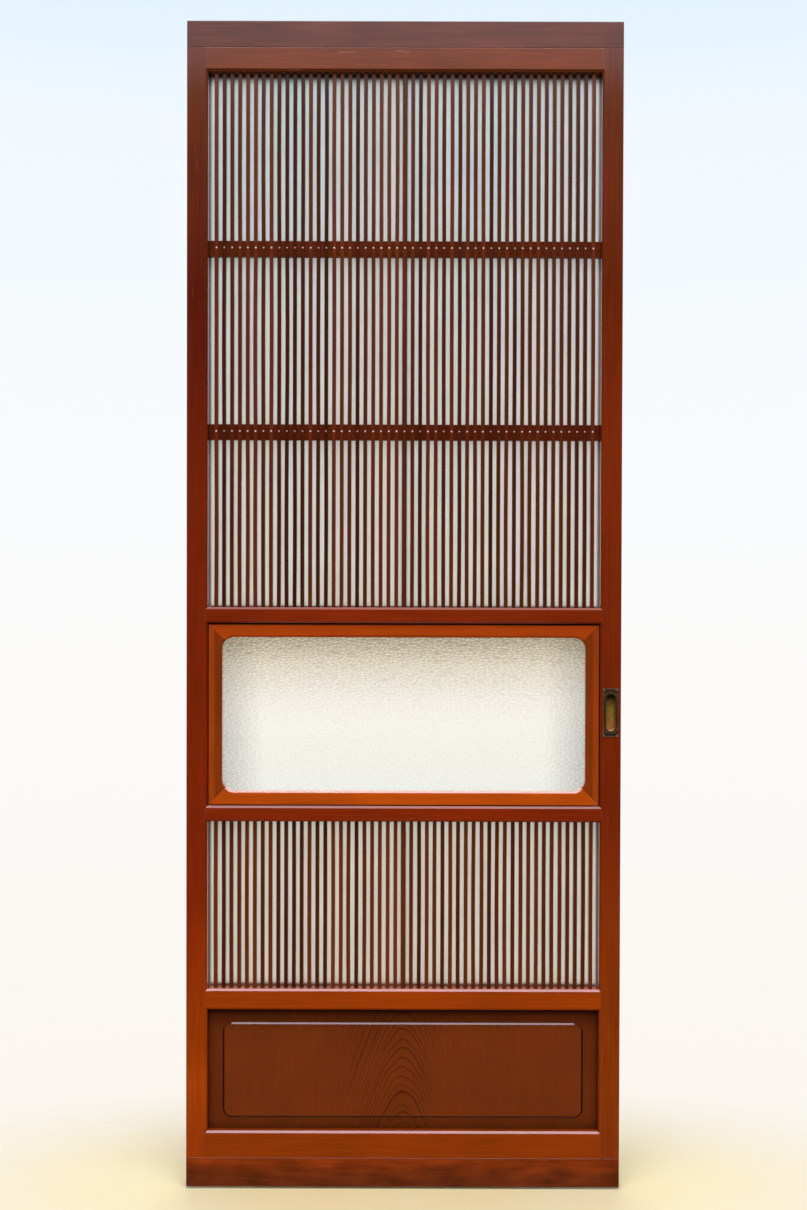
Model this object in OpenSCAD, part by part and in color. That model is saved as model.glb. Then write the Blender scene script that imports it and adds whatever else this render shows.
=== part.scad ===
// A sliding lattice door leaf. A mortised frame of two stiles and five rails holds an
// upper lattice in three tiers, a sash of figured glass, a lower lattice and a kick panel.
// Frosted panes stand behind the lattices. A strip is added along the top edge and another
// along the bottom edge, which carries two rollers.
// X runs across the leaf, Y from its front face to its back, and Z up from the sill rail.

/* [Leaf] */
// Width of the leaf over both stiles
leaf_w = 690; // [600:1:900]
// Thickness of the stiles, rails and strips
leaf_t = 33; // [31:0.5:42]
// Width of each stile
stile_w = 33; // [32:0.5:50]
// Chamfer along the front inner edges of the stiles and rails
chamfer = 3.2; // [1:0.1:4.5]
// Eased outer edges of the stiles and strips
ease = 0.8; // [0.2:0.1:1.5]
// Open seam at the shoulders of the rails
shoulder_gap = 0.2; // [0:0.05:0.4]

/* [Heights] */
// Height of the strip added along the bottom edge
bottom_strip_h = 47; // [42:1:70]
// Height of the bottom rail
bottom_rail_h = 42; // [32:1:90]
// Clear height of the kick panel
panel_zone_h = 194; // [120:1:400]
// Height of the rail over the kick panel
panel_rail_h = 33; // [26:1:60]
// Clear height of the lower lattice
lower_lattice_h = 267; // [150:1:500]
// Height of each of the two rails at the sash
sash_rail_h = 25; // [24:0.5:50]
// Clear height between the two sash rails
sash_zone_h = 291; // [150:1:500]
// Clear height of each tier of the upper lattice
tier_h = 266; // [120:1:400]
// Height of the top rail
top_rail_h = 36; // [26:1:60]
// Height of the strip added along the top edge
top_strip_h = 42; // [20:1:55]

/* [Joinery] */
// Thickness of the tenons
tenon_t = 10; // [6:0.5:12]
// Length of the tenons
tenon_l = 24; // [12:1:26]
// Step from a rail's edge to its tenon
tenon_shoulder = 7.5; // [7:0.1:9]
// Clearance on each side of tenons, housings and grooves
fit = 0.1; // [0.05:0.05:0.3]

/* [Lattice] */
// Number of bars in each lattice, odd so that one stands in the middle
bar_count = 49; // [21:2:59]
// Width of a bar
bar_w = 6.2; // [4:0.1:7]
// Depth of a bar
bar_depth = 9; // [6:0.5:10]
// Distance from the leaf's face back to the bars
lattice_setback = 10; // [6:0.5:11]
// Depth of the housings in the rails for the ends of the bars
housing_d = 6; // [3:0.5:8]
// Height of each cross rail
cross_rail_h = 25; // [14:1:40]
// Depth of each cross rail
cross_rail_depth = 9; // [8:0.5:10]
// Distance from the bars' faces back to the cross rails
lap_setback = 0.6; // [0:0.1:2]
// Length of a cross rail's stub in each stile
cross_stub = 10; // [5:1:20]

/* [Lattice nails] */
// Diameter of a nail's head
nail_head_d = 2.8; // [1.6:0.1:3.8]
// Height of a nail's head
nail_head_h = 0.7; // [0.3:0.1:1.5]
// Diameter of a nail's shank
nail_d = 1.3; // [0.8:0.1:1.5]
// Length of a nail inside the cross rail
nail_bite = 2.4; // [1:0.1:2.5]
// Height of the nails above the middle of a cross rail
nail_rise = 1.5; // [0:0.5:5]

/* [Frosted panes] */
// Thickness of the frosted panes
pane_t = 3; // [2:0.5:4]
// Width of the rebates that hold the panes
rebate_w = 7; // [5:0.5:8]
// Room left round each pane
pane_gap = 0.4; // [0.2:0.1:0.8]
// Width of the muntin's lip between the left and right panes
muntin_w = 7; // [7:0.5:14]
// Thickness of the muntin's lip in front of the panes
muntin_lip = 3; // [2:0.5:5]
// Width of the muntin's web between the panes
muntin_web = 3; // [2:0.5:5]
// Width of the cap over the muntin
muntin_cap_w = 8; // [8:1:30]
// Width of the beads behind the panes
bead_w = 9; // [8:0.5:14]

/* [Sash] */
// Thickness of the frame's lip in front of the sash
lip_t = 8.5; // [7:0.5:10]
// Width of the sash's tongue behind that lip
tongue_w = 6; // [4:0.5:6.5]
// Distance from the leaf's face back to the sash's face
sash_setback = 4.5; // [3.5:0.1:6.5]
// Shadow gap round the raised face of the sash
sash_gap = 1.8; // [0.5:0.1:3]
// Distance from the frame to the edge of the glass opening
sash_margin = 23; // [16:0.5:40]
// Corner radius of the glass opening
sash_corner_r = 18.6; // [8:0.1:30]
// Radius of the rounded inner edge
sash_round_r = 4.5; // [3:0.1:8]
// Distance from the leaf's face back to the figured glass
glass_setback = 19.5; // [17:0.5:21]
// Thickness of the figured glass
glass_t = 4; // [3:0.5:5]
// Overlap of the glass behind the sash
glass_lap = 8; // [5:0.5:10]
// Width of the battens behind the sash
batten_w = 24; // [20:0.5:28]

/* [Kick panel] */
// Thickness of the kick panel's board
panel_t = 6; // [4:0.5:8]
// Distance from the leaf's face back to the board
panel_setback = 13.5; // [10:0.5:16]
// Depth of the groove that holds the board
groove_d = 6; // [4:0.5:8]
// Height of the raised field above the board
field_rise = 2; // [0.5:0.1:4]
// Width of the slope round the raised field
field_slope = 2.5; // [1:0.1:5]
// Margin at each side of the raised field
field_side = 24; // [10:1:60]
// Margin above the raised field
field_top = 24; // [10:1:50]
// Margin below the raised field
field_bottom = 18; // [10:1:50]
// Corner radius of the raised field
field_corner_r = 14; // [6:0.5:25]

/* [Pull] */
// Height of the pull's middle above the sill rail
pull_z = 761; // [680:1:840]
// Width of the pull's plate
plate_w = 24.6; // [21:0.1:28]
// Height of the pull's plate
plate_h = 76.7; // [70:0.1:110]
// Thickness of the pull's plate
plate_t = 1; // [0.6:0.1:2]
// Corner radius of the pull's plate
plate_corner_r = 1.6; // [0.8:0.1:4]
// Width of the finger cup
cup_w = 14.5; // [12:0.1:15]
// Height of the finger cup
cup_h = 58.5; // [40:0.1:64]
// Depth of the finger cup behind the leaf's face
cup_depth = 10; // [7:0.5:13]
// Thickness of the cup's sheet
cup_wall = 0.8; // [0.5:0.1:1.2]
// Width of the cup's rim on the plate
rim_w = 1.4; // [1:0.1:2]
// Height of the cup's rim above the plate
rim_t = 0.6; // [0.4:0.1:1.2]
// Clearance round the cup in the plate and the stile
cup_fit = 0.2; // [0.1:0.05:0.3]
// Diameter of the pull's nails
pull_nail_d = 1.4; // [1:0.1:2]
// Diameter of the heads of the pull's nails
pull_nail_head_d = 2.6; // [2.2:0.1:3.4]
// Height of the heads of the pull's nails
pull_nail_head_h = 0.7; // [0.4:0.1:1.2]
// Length of the pull's nails
pull_nail_l = 12; // [8:1:18]

/* [Strip screws] */
// Number of screws in each strip, even
screw_count = 4; // [2:2:4]
// Spacing of the screws in each strip
screw_pitch = 110; // [80:1:130]
// Diameter of a screw's shank
screw_d = 4; // [3:0.5:5]
// Diameter of a screw's head
screw_head_d = 8; // [6:0.5:10]
// Length of a screw beyond its strip
screw_bite = 18; // [10:1:20]

/* [Rollers] */
// Height of the leaf's underside above the sill rail
roller_stand = 3; // [2:0.5:5]
// Distance from the leaf's side to each axle
roller_inset = 70; // [50:1:120]
// Diameter of a wheel
wheel_d = 32; // [26:1:36]
// Width of a wheel
wheel_w = 8; // [6:0.5:10]
// Depth of the groove round a wheel
wheel_groove = 1.6; // [0.5:0.1:2.5]
// Width of the lip on each side of that groove
wheel_lip = 1.6; // [0.8:0.1:1.8]
// Thickness of a wheel's rim under its groove
wheel_rim = 3; // [2:0.1:4]
// Thickness of a wheel's web
wheel_web = 4; // [2:0.5:5]
// Thickness of the hub round an axle
hub_wall = 2.5; // [1.5:0.1:4]
// Diameter of an axle
axle_d = 5; // [4:0.5:6]
// How far an axle stands out of each cheek of its case
axle_end = 0.5; // [0.2:0.1:1]
// Running clearance between wheel and axle, on the radius
axle_fit = 0.05; // [0.02:0.01:0.1]
// Room at each side of a wheel
wheel_side_gap = 0.6; // [0.3:0.1:1]
// Thickness of the case's sheet
case_t = 1.5; // [1:0.1:2]
// Sheet left round the axle at the top of each cheek
cheek_land = 4; // [2:0.5:6]
// How far a cheek reaches past the wheel at each end
cheek_margin = 1; // [0.5:0.1:2]
// Length of the case's flange
flange_l = 76; // [70:1:90]
// Width of the case's flange
flange_w = 20; // [19:0.5:24]
// Room round the case in its mortise
case_gap = 0.3; // [0.2:0.1:0.6]
// Diameter of a case screw's shank
case_screw_d = 3; // [2.5:0.5:4]
// Diameter of a case screw's head
case_screw_head_d = 5.6; // [5:0.1:6.5]
// Length of a case screw
case_screw_l = 16; // [10:1:20]

/* [Hidden] */
$fn = 48;

// Depths, from the front face to the back
half_w = leaf_w / 2;
open_half = half_w - stile_w;
front = -leaf_t / 2;
back = leaf_t / 2;
bar_y = front + lattice_setback;
lap_y = bar_y + bar_depth / 2;
cross_y = bar_y + lap_setback;
cross_back = cross_y + cross_rail_depth;
muntin_y = max(bar_y + bar_depth, cross_back);
pane_y = muntin_y + muntin_lip;
bead_y = pane_y + pane_t;
panel_y = front + panel_setback;
sash_y = front + sash_setback;
tongue_y = front + lip_t;
glass_y = front + glass_setback;
sash_back_y = glass_y + glass_t;

// Levels, from the sill rail up
strip_low = roller_stand;
frame_low = strip_low + bottom_strip_h;
panel_low = frame_low + bottom_rail_h;
panel_high = panel_low + panel_zone_h;
lower_low = panel_high + panel_rail_h;
lower_high = lower_low + lower_lattice_h;
sash_low = lower_high + sash_rail_h;
sash_high = sash_low + sash_zone_h;
upper_low = sash_high + sash_rail_h;
lower_cross_low = upper_low + tier_h;
upper_cross_low = lower_cross_low + cross_rail_h + tier_h;
upper_high = upper_cross_low + cross_rail_h + tier_h;
frame_high = upper_high + top_rail_h;
leaf_high = frame_high + top_strip_h;

// Lower and upper level of each rail
bottom_rail_span = [frame_low, panel_low];
panel_rail_span = [panel_high, lower_low];
lower_sash_rail_span = [lower_high, sash_low];
upper_sash_rail_span = [sash_high, upper_low];
top_rail_span = [upper_high, frame_high];
rail_spans = [bottom_rail_span, panel_rail_span, lower_sash_rail_span, upper_sash_rail_span, top_rail_span];
cross_lows = [lower_cross_low, upper_cross_low];

// Lattice pattern
bar_pitch = 2 * open_half / (bar_count + 1);
bar_places = [for (i = [1 : bar_count]) -open_half + i * bar_pitch];

// Sash and glass
sash_mid = (sash_low + sash_high) / 2;
sash_out_x = open_half + tongue_w - fit;
sash_out_z = sash_zone_h / 2 + tongue_w - fit;
sight_x = open_half - sash_margin;
sight_z = sash_zone_h / 2 - sash_margin;

// Pull
pull_x = half_w - stile_w / 2;
cup_nail_y = front + cup_depth / 2;
// Room round the nails
nail_fit = 0.05;

// Rollers
roller_x = half_w - roller_inset;
axle_z = wheel_d / 2;
cheek_in = wheel_w / 2 + wheel_side_gap;
cheek_out = cheek_in + case_t;
cheek_l = wheel_d + 2 * cheek_margin;
cheek_top = axle_d / 2 + cheek_land;
case_high = axle_z + cheek_top;
// Room over a wheel in its mortise
wheel_room = 1.5;
case_screw_x = (flange_l + cheek_l) / 4;
hub_r = axle_d / 2 + hub_wall;

// Cutters reach past the faces that they open
over = 1;

wood = "#7d2f0c";
lattice_wood = "#5f2711";
sash_wood = "#ad4a08";
panel_wood = "#69300f";
strip_wood = "#74392a";
frosted = "#cfd6d6";
clear = "#eef0ea";
dark_brass = "#4b3412";
bright_brass = "#9c7430";
steel = "#9a9a98";

// A box between two corners
module block(low, high) {
    translate(low) cube(high - low);
}

// A plate between two depths, from an outline drawn in X and Z
module slab(y_front, y_back) {
    rotate([90, 0, 0]) translate([0, 0, -y_back]) linear_extrude(y_back - y_front) children();
}

// A rod along X, from a section drawn in Y and Z
module rod_x(length) {
    rotate([90, 0, 90]) linear_extrude(length, center = true) children();
}

// A long slot outline with round ends
module stadium(width, height) {
    square([width, height - width], center = true);
    for (side = [-1, 1]) translate([0, side * (height - width) / 2]) circle(d = width);
}

// The groove that holds the kick panel, cut in the stiles and rails alike
module panel_groove() {
    reach = groove_d + fit;
    block([-open_half - reach, panel_y - fit, panel_low - reach],
          [open_half + reach, panel_y + panel_t + fit, panel_high + reach]);
}

// The rebate round the back of a lattice, for its panes and beads
module pane_rebate(low, high) {
    block([-open_half - rebate_w, pane_y, low - rebate_w],
          [open_half + rebate_w, back + over, high + rebate_w]);
}

// The rebate round the back of the sash
module sash_rebate() {
    block([-open_half - tongue_w, tongue_y, sash_low - tongue_w],
          [open_half + tongue_w, back + over, sash_high + tongue_w]);
}

module frame_rebates() {
    panel_groove();
    pane_rebate(lower_low, lower_high);
    pane_rebate(upper_low, upper_high);
    sash_rebate();
}

// The left stile, with its mortises, rebates and groove
module stile() {
    mortise_l = tenon_l + fit;
    difference() {
        translate([0, 0, frame_low]) linear_extrude(frame_high - frame_low) polygon([
            [-half_w + ease, front], [-open_half - chamfer, front], [-open_half, front + chamfer],
            [-open_half, back], [-half_w + ease, back], [-half_w, back - ease], [-half_w, front + ease]]);
        for (span = rail_spans)
            block([-open_half - mortise_l, -tenon_t / 2 - fit, span[0] + tenon_shoulder - fit],
                  [-open_half + over, tenon_t / 2 + fit, span[1] - tenon_shoulder + fit]);
        for (low = cross_lows)
            block([-open_half - cross_stub - fit, cross_y - fit, low - fit],
                  [-open_half + over, cross_back + fit, low + cross_rail_h + fit]);
        frame_rebates();
    }
}

// Room for one pull's cup and its two nails, on the front
module pull_pocket() {
    translate([pull_x, 0, pull_z]) {
        slab(front - over, front + cup_depth + cup_fit)
            stadium(cup_w + 2 * cup_wall + 2 * cup_fit, cup_h + 2 * cup_wall + 2 * cup_fit);
        translate([0, cup_nail_y, 0])
            cylinder(d = pull_nail_d + 2 * nail_fit, h = cup_h + 2 * pull_nail_l, center = true);
    }
}

module left_stile() {
    color(wood) stile();
}

module right_stile() {
    color(wood) difference() {
        mirror([1, 0, 0]) stile();
        pull_pocket();
        mirror([0, 1, 0]) pull_pocket();
    }
}

// A rail whose front runs over the stiles' chamfers in a mitre, with a tenon at each end
module rail(span, low_chamfer, high_chamfer) {
    end = open_half - shoulder_gap;
    rise = span[1] - span[0];
    tenon_end = open_half + tenon_l;
    intersection() {
        rod_x(leaf_w) polygon([
            [front, span[0] + low_chamfer], [front + low_chamfer, span[0]], [back, span[0]],
            [back, span[1]], [front + high_chamfer, span[1]], [front, span[1] - high_chamfer]]);
        translate([0, 0, span[0]]) linear_extrude(rise) polygon([
            [-end - chamfer, front], [end + chamfer, front], [end, front + chamfer],
            [end, back], [-end, back], [-end, front + chamfer]]);
    }
    block([-tenon_end, -tenon_t / 2, span[0] + tenon_shoulder],
          [tenon_end, tenon_t / 2, span[1] - tenon_shoulder]);
}

// Housings for the ends of the bars, above or below an edge of a rail
module bar_housings(level, side) {
    near = level + side * (housing_d + fit);
    far = level - side * over;
    for (x = bar_places)
        block([x - bar_w / 2 - fit, bar_y - fit, min(near, far)],
              [x + bar_w / 2 + fit, bar_y + bar_depth + fit, max(near, far)]);
}

// The countersunk screws of a strip, or with room round them their holes, heads at zero and
// points up
module strip_screws(strip_h, room) {
    cone_h = (screw_head_d - screw_d) / 2;
    first = -(screw_count - 1) / 2 * screw_pitch;
    for (i = [0 : screw_count - 1]) translate([first + i * screw_pitch, 0, 0]) {
        cylinder(d1 = screw_head_d + 2 * room, d2 = screw_d + 2 * room, h = cone_h);
        cylinder(d = screw_d + 2 * room, h = strip_h + screw_bite + room);
    }
}

module bottom_rail() {
    color(wood) difference() {
        rail(bottom_rail_span, 0, chamfer);
        frame_rebates();
        translate([0, 0, strip_low]) strip_screws(bottom_strip_h, fit);
    }
}

module panel_rail() {
    color(wood) difference() {
        rail(panel_rail_span, chamfer, chamfer);
        frame_rebates();
        bar_housings(lower_low, -1);
    }
}

module lower_sash_rail() {
    color(wood) difference() {
        rail(lower_sash_rail_span, chamfer, chamfer);
        frame_rebates();
        bar_housings(lower_high, 1);
    }
}

module upper_sash_rail() {
    color(wood) difference() {
        rail(upper_sash_rail_span, chamfer, chamfer);
        frame_rebates();
        bar_housings(upper_low, -1);
    }
}

module top_rail() {
    color(wood) difference() {
        rail(top_rail_span, chamfer, 0);
        frame_rebates();
        bar_housings(upper_high, 1);
        translate([0, 0, leaf_high]) mirror([0, 0, 1]) strip_screws(top_strip_h, fit);
    }
}

// A strip across the whole leaf with all its edges eased
module strip(low, high) {
    mid = (low + high) / 2;
    intersection() {
        rod_x(leaf_w) eased_rectangle(leaf_t, high - low, mid);
        translate([0, 0, low]) linear_extrude(high - low) eased_rectangle(leaf_w, leaf_t, 0);
        slab(front, back) eased_rectangle(leaf_w, high - low, mid);
    }
}

// A rectangle about a middle level, with its corners cut off by the eased edge
module eased_rectangle(width, height, mid) {
    w = width / 2;
    h = height / 2;
    translate([0, mid]) polygon([
        [-w + ease, -h], [w - ease, -h], [w, -h + ease], [w, h - ease],
        [w - ease, h], [-w + ease, h], [-w, h - ease], [-w, -h + ease]]);
}

// Mortise for one roller's case, with the shallow recess for its flange
module roller_mortise() {
    side = cheek_out + axle_end + case_gap;
    translate([roller_x, 0, 0]) {
        block([-cheek_l / 2 - case_gap, -side, strip_low - over],
              [cheek_l / 2 + case_gap, side, max(wheel_d, case_high) + wheel_room]);
        block([-flange_l / 2 - case_gap, -flange_w / 2 - case_gap, strip_low - over],
              [flange_l / 2 + case_gap, flange_w / 2 + case_gap, strip_low + case_t]);
        case_screws(fit);
    }
}

module bottom_strip() {
    color(strip_wood) difference() {
        strip(strip_low, frame_low);
        translate([0, 0, strip_low]) strip_screws(bottom_strip_h, fit);
        for (side = [0, 1]) mirror([side, 0, 0]) roller_mortise();
    }
}

module top_strip() {
    color(strip_wood) difference() {
        strip(frame_high, leaf_high);
        translate([0, 0, leaf_high]) mirror([0, 0, 1]) strip_screws(top_strip_h, fit);
    }
}

module bottom_strip_screws() {
    color(steel) translate([0, 0, strip_low]) strip_screws(bottom_strip_h, 0);
}

module top_strip_screws() {
    color(steel) translate([0, 0, leaf_high]) mirror([0, 0, 1]) strip_screws(top_strip_h, 0);
}

// The upper bars, lapped over the cross rails and drilled for their nails
module upper_lattice_bars() {
    color(lattice_wood) for (x = bar_places) difference() {
        block([x - bar_w / 2, bar_y, upper_low - housing_d],
              [x + bar_w / 2, bar_y + bar_depth, upper_high + housing_d]);
        for (low = cross_lows) {
            block([x - bar_w, lap_y, low - fit], [x + bar_w, back, low + cross_rail_h + fit]);
            nail_hole(x, low);
        }
    }
}

module lower_lattice_bars() {
    color(lattice_wood) for (x = bar_places)
        block([x - bar_w / 2, bar_y, lower_low - housing_d],
              [x + bar_w / 2, bar_y + bar_depth, lower_high + housing_d]);
}

// A cross rail, notched in front for each bar
module cross_rail(low) {
    end = open_half + cross_stub;
    difference() {
        block([-end, cross_y, low], [end, cross_back, low + cross_rail_h]);
        for (x = bar_places) {
            block([x - bar_w / 2 - fit, cross_y - over, low - over],
                  [x + bar_w / 2 + fit, lap_y, low + cross_rail_h + over]);
            nail_hole(x, low);
        }
    }
}

module upper_cross_rail() {
    color(lattice_wood) cross_rail(upper_cross_low);
}

module lower_cross_rail() {
    color(lattice_wood) cross_rail(lower_cross_low);
}

module nail_hole(x, low) {
    length = lap_y - bar_y + nail_bite + nail_fit;
    translate([x, bar_y - over, low + cross_rail_h / 2 + nail_rise]) rotate([-90, 0, 0])
        cylinder(d = nail_d + 2 * nail_fit, h = length + over);
}

// One nail, its head on a bar and its point in the cross rail
module lattice_nail() {
    rotate([-90, 0, 0]) {
        cylinder(d = nail_d, h = lap_y - bar_y + nail_bite);
        mirror([0, 0, 1]) cylinder(d1 = nail_head_d, d2 = nail_head_d / 2, h = nail_head_h);
    }
}

module lattice_nails() {
    color(steel) for (low = cross_lows) for (x = bar_places)
        translate([x, bar_y, low + cross_rail_h / 2 + nail_rise]) lattice_nail();
}

// The muntin behind the middle bar, a lip with a web between the left and right panes
module muntin(low, high) {
    block([-muntin_w / 2, muntin_y, low + fit], [muntin_w / 2, pane_y, high - fit]);
    block([-muntin_web / 2, pane_y, low - rebate_w + fit], [muntin_web / 2, bead_y, high + rebate_w - fit]);
}

module upper_muntin() {
    color(lattice_wood) muntin(upper_low, upper_high);
}

module lower_muntin() {
    color(lattice_wood) muntin(lower_low, lower_high);
}

// The pane on the right of a muntin
module pane(low, high) {
    block([muntin_web / 2 + pane_gap, pane_y, low - rebate_w + pane_gap],
          [open_half + rebate_w - pane_gap, bead_y, high + rebate_w - pane_gap]);
}

module upper_left_pane() {
    color(frosted) mirror([1, 0, 0]) pane(upper_low, upper_high);
}

module upper_right_pane() {
    color(frosted) pane(upper_low, upper_high);
}

module lower_left_pane() {
    color(frosted) mirror([1, 0, 0]) pane(lower_low, lower_high);
}

module lower_right_pane() {
    color(frosted) pane(lower_low, lower_high);
}

// A bead along the rebate's lower or upper side, from stile to stile
module level_bead(level, side) {
    outer = level - side * (rebate_w - fit);
    inner = outer + side * bead_w;
    end = open_half + rebate_w - fit;
    block([-end, bead_y, min(outer, inner)], [end, back, max(outer, inner)]);
}

// A bead up the right side of the rebate, between the level beads
module upright_bead(low, high) {
    outer = open_half + rebate_w - fit;
    end = bead_w - rebate_w + 2 * fit;
    block([outer - bead_w, bead_y, low + end], [outer, back, high - end]);
}

// The cap over a muntin, between the level beads
module muntin_cap(low, high) {
    end = bead_w - rebate_w + 2 * fit;
    block([-muntin_cap_w / 2, bead_y, low + end], [muntin_cap_w / 2, back, high - end]);
}

module upper_bead_top() {
    color(wood) level_bead(upper_high, -1);
}

module upper_bead_bottom() {
    color(wood) level_bead(upper_low, 1);
}

module upper_bead_left() {
    color(wood) mirror([1, 0, 0]) upright_bead(upper_low, upper_high);
}

module upper_bead_right() {
    color(wood) upright_bead(upper_low, upper_high);
}

module upper_muntin_cap() {
    color(wood) muntin_cap(upper_low, upper_high);
}

module lower_bead_top() {
    color(wood) level_bead(lower_high, -1);
}

module lower_bead_bottom() {
    color(wood) level_bead(lower_low, 1);
}

module lower_bead_left() {
    color(wood) mirror([1, 0, 0]) upright_bead(lower_low, lower_high);
}

module lower_bead_right() {
    color(wood) upright_bead(lower_low, lower_high);
}

module lower_muntin_cap() {
    color(wood) muntin_cap(lower_low, lower_high);
}

// Section of what the glass opening removes, from the corner's centre outwards
module opening_section() {
    rounded_low = -sash_y - sash_round_r;
    translate([0, -sash_back_y - over]) square([sash_corner_r, sash_back_y - sash_y + 2 * over]);
    difference() {
        translate([0, rounded_low]) square([sash_corner_r + sash_round_r, sash_round_r + over]);
        translate([sash_corner_r + sash_round_r, rounded_low]) circle(r = sash_round_r);
    }
}

// The glass opening with its rounded edge and corners, its face upwards
module glass_opening() {
    x = sight_x - sash_corner_r;
    z = sight_z - sash_corner_r;
    depth = sash_back_y - sash_y + 2 * over;
    translate([-x, -z, -sash_back_y - over]) cube([2 * x, 2 * z, depth]);
    for (turn = [0, 180]) rotate(turn) {
        translate([x, 0, 0]) rotate([90, 0, 0]) linear_extrude(2 * z, center = true) opening_section();
        rotate(90) translate([z, 0, 0]) rotate([90, 0, 0])
            linear_extrude(2 * x, center = true) opening_section();
        translate([x, z, 0]) rotate_extrude(angle = 90) opening_section();
        translate([-x, z, 0]) rotate(90) rotate_extrude(angle = 90) opening_section();
    }
}

// The whole ring of the sash, a raised face on a wider tongue, rebated for the glass
module sash_ring() {
    face_x = open_half - sash_gap;
    face_z = sash_zone_h / 2 - sash_gap;
    lap_x = sight_x + glass_lap;
    lap_z = sight_z + glass_lap;
    translate([0, 0, sash_mid]) difference() {
        union() {
            block([-face_x, sash_y, -face_z], [face_x, tongue_y + fit, face_z]);
            block([-sash_out_x, tongue_y + fit, -sash_out_z], [sash_out_x, sash_back_y, sash_out_z]);
        }
        block([-lap_x, glass_y, -lap_z], [lap_x, sash_back_y + over, lap_z]);
        rotate([90, 0, 0]) glass_opening();
    }
}

// One member of the sash, cut from the ring along its mitres
module sash_member(turn) {
    level = turn % 180 == 90;
    near = level ? sash_out_z : sash_out_x;
    wide = level ? sash_out_x : sash_out_z;
    reach = sash_margin + tongue_w + sash_corner_r + sash_round_r;
    color(sash_wood) intersection() {
        sash_ring();
        translate([0, 0, sash_mid]) slab(front, back) rotate(turn) polygon([
            [near, -wide], [near, wide], [near - reach, wide - reach], [near - reach, reach - wide]]);
    }
}

module sash_right() {
    sash_member(0);
}

module sash_top() {
    sash_member(90);
}

module sash_left() {
    sash_member(180);
}

module sash_bottom() {
    sash_member(270);
}

module figured_glass() {
    x = sight_x + glass_lap - pane_gap;
    z = sight_z + glass_lap - pane_gap;
    color(clear) block([-x, glass_y, sash_mid - z], [x, sash_back_y, sash_mid + z]);
}

// A batten across the leaf behind the sash, on its lower or upper side
module level_batten(side) {
    outer = sash_mid + side * sash_out_z;
    inner = outer - side * batten_w;
    block([-sash_out_x, sash_back_y, min(outer, inner)], [sash_out_x, back, max(outer, inner)]);
}

// A batten up the right side behind the sash, between the level battens
module upright_batten() {
    end = sash_out_z - batten_w - fit;
    block([sash_out_x - batten_w, sash_back_y, sash_mid - end], [sash_out_x, back, sash_mid + end]);
}

module sash_batten_top() {
    color(wood) level_batten(1);
}

module sash_batten_bottom() {
    color(wood) level_batten(-1);
}

module sash_batten_left() {
    color(wood) mirror([1, 0, 0]) upright_batten();
}

module sash_batten_right() {
    color(wood) upright_batten();
}

// Section of the raised field across its whole width or height
module field_section(half) {
    polygon([[-half, 0], [half, 0], [half - field_slope, field_rise], [-half + field_slope, field_rise]]);
}

// The raised field with sloping sides and round corners, its face upwards
module raised_field(half_x, half_z) {
    x = half_x - field_corner_r;
    z = half_z - field_corner_r;
    rotate([90, 0, 0]) linear_extrude(2 * z, center = true) field_section(half_x);
    rotate([90, 0, 90]) linear_extrude(2 * x, center = true) field_section(half_z);
    for (side_x = [-1, 1]) for (side_z = [-1, 1]) translate([side_x * x, side_z * z, 0])
        cylinder(r1 = field_corner_r, r2 = field_corner_r - field_slope, h = field_rise);
}

module kick_panel() {
    reach = open_half + groove_d;
    field_low = panel_low + field_bottom;
    field_high = panel_high - field_top;
    color(panel_wood) union() {
        block([-reach, panel_y, panel_low - groove_d], [reach, panel_y + panel_t, panel_high + groove_d]);
        translate([0, panel_y, (field_low + field_high) / 2]) rotate([90, 0, 0])
            raised_field(open_half - field_side, (field_high - field_low) / 2);
    }
}

// Outline of the pull's plate
module plate_outline() {
    w = plate_w - 2 * plate_corner_r;
    h = plate_h - 2 * plate_corner_r;
    square([w, plate_h], center = true);
    square([plate_w, h], center = true);
    for (x = [-1, 1]) for (z = [-1, 1]) translate([x * w / 2, z * h / 2]) circle(r = plate_corner_r);
}

module pull_plate() {
    translate([pull_x, 0, pull_z]) slab(front - plate_t, front) difference() {
        plate_outline();
        stadium(cup_w + 2 * cup_wall + 2 * cup_fit, cup_h + 2 * cup_wall + 2 * cup_fit);
    }
}

// The pressed finger cup, with its rim on the plate and a nail hole in each end
module pull_cup() {
    face = front - plate_t;
    translate([pull_x, 0, pull_z]) difference() {
        union() {
            slab(face - rim_t, face) stadium(cup_w + 2 * cup_wall + 2 * rim_w, cup_h + 2 * cup_wall + 2 * rim_w);
            slab(face, front + cup_depth) stadium(cup_w + 2 * cup_wall, cup_h + 2 * cup_wall);
        }
        slab(face - rim_t - over, front + cup_depth - cup_wall) stadium(cup_w, cup_h);
        translate([0, cup_nail_y, 0])
            cylinder(d = pull_nail_d + 2 * nail_fit, h = cup_h + 4 * cup_wall, center = true);
    }
}

// One nail through the upper end of the cup into the stile, its flat head just clear of the
// cup's round end
module pull_nail() {
    head_drop = cup_w / 2 - sqrt(pow(cup_w / 2, 2) - pow(pull_nail_head_d / 2, 2)) + nail_fit;
    translate([pull_x, cup_nail_y, pull_z + cup_h / 2 - head_drop]) {
        cylinder(d = pull_nail_d, h = pull_nail_l - head_drop);
        mirror([0, 0, 1])
            cylinder(d1 = pull_nail_head_d, d2 = pull_nail_head_d / 2, h = pull_nail_head_h);
    }
}

module front_pull_plate() {
    color(dark_brass) pull_plate();
}

module front_pull_cup() {
    color(bright_brass) pull_cup();
}

module back_pull_plate() {
    color(dark_brass) mirror([0, 1, 0]) pull_plate();
}

module back_pull_cup() {
    color(bright_brass) mirror([0, 1, 0]) pull_cup();
}

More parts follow.
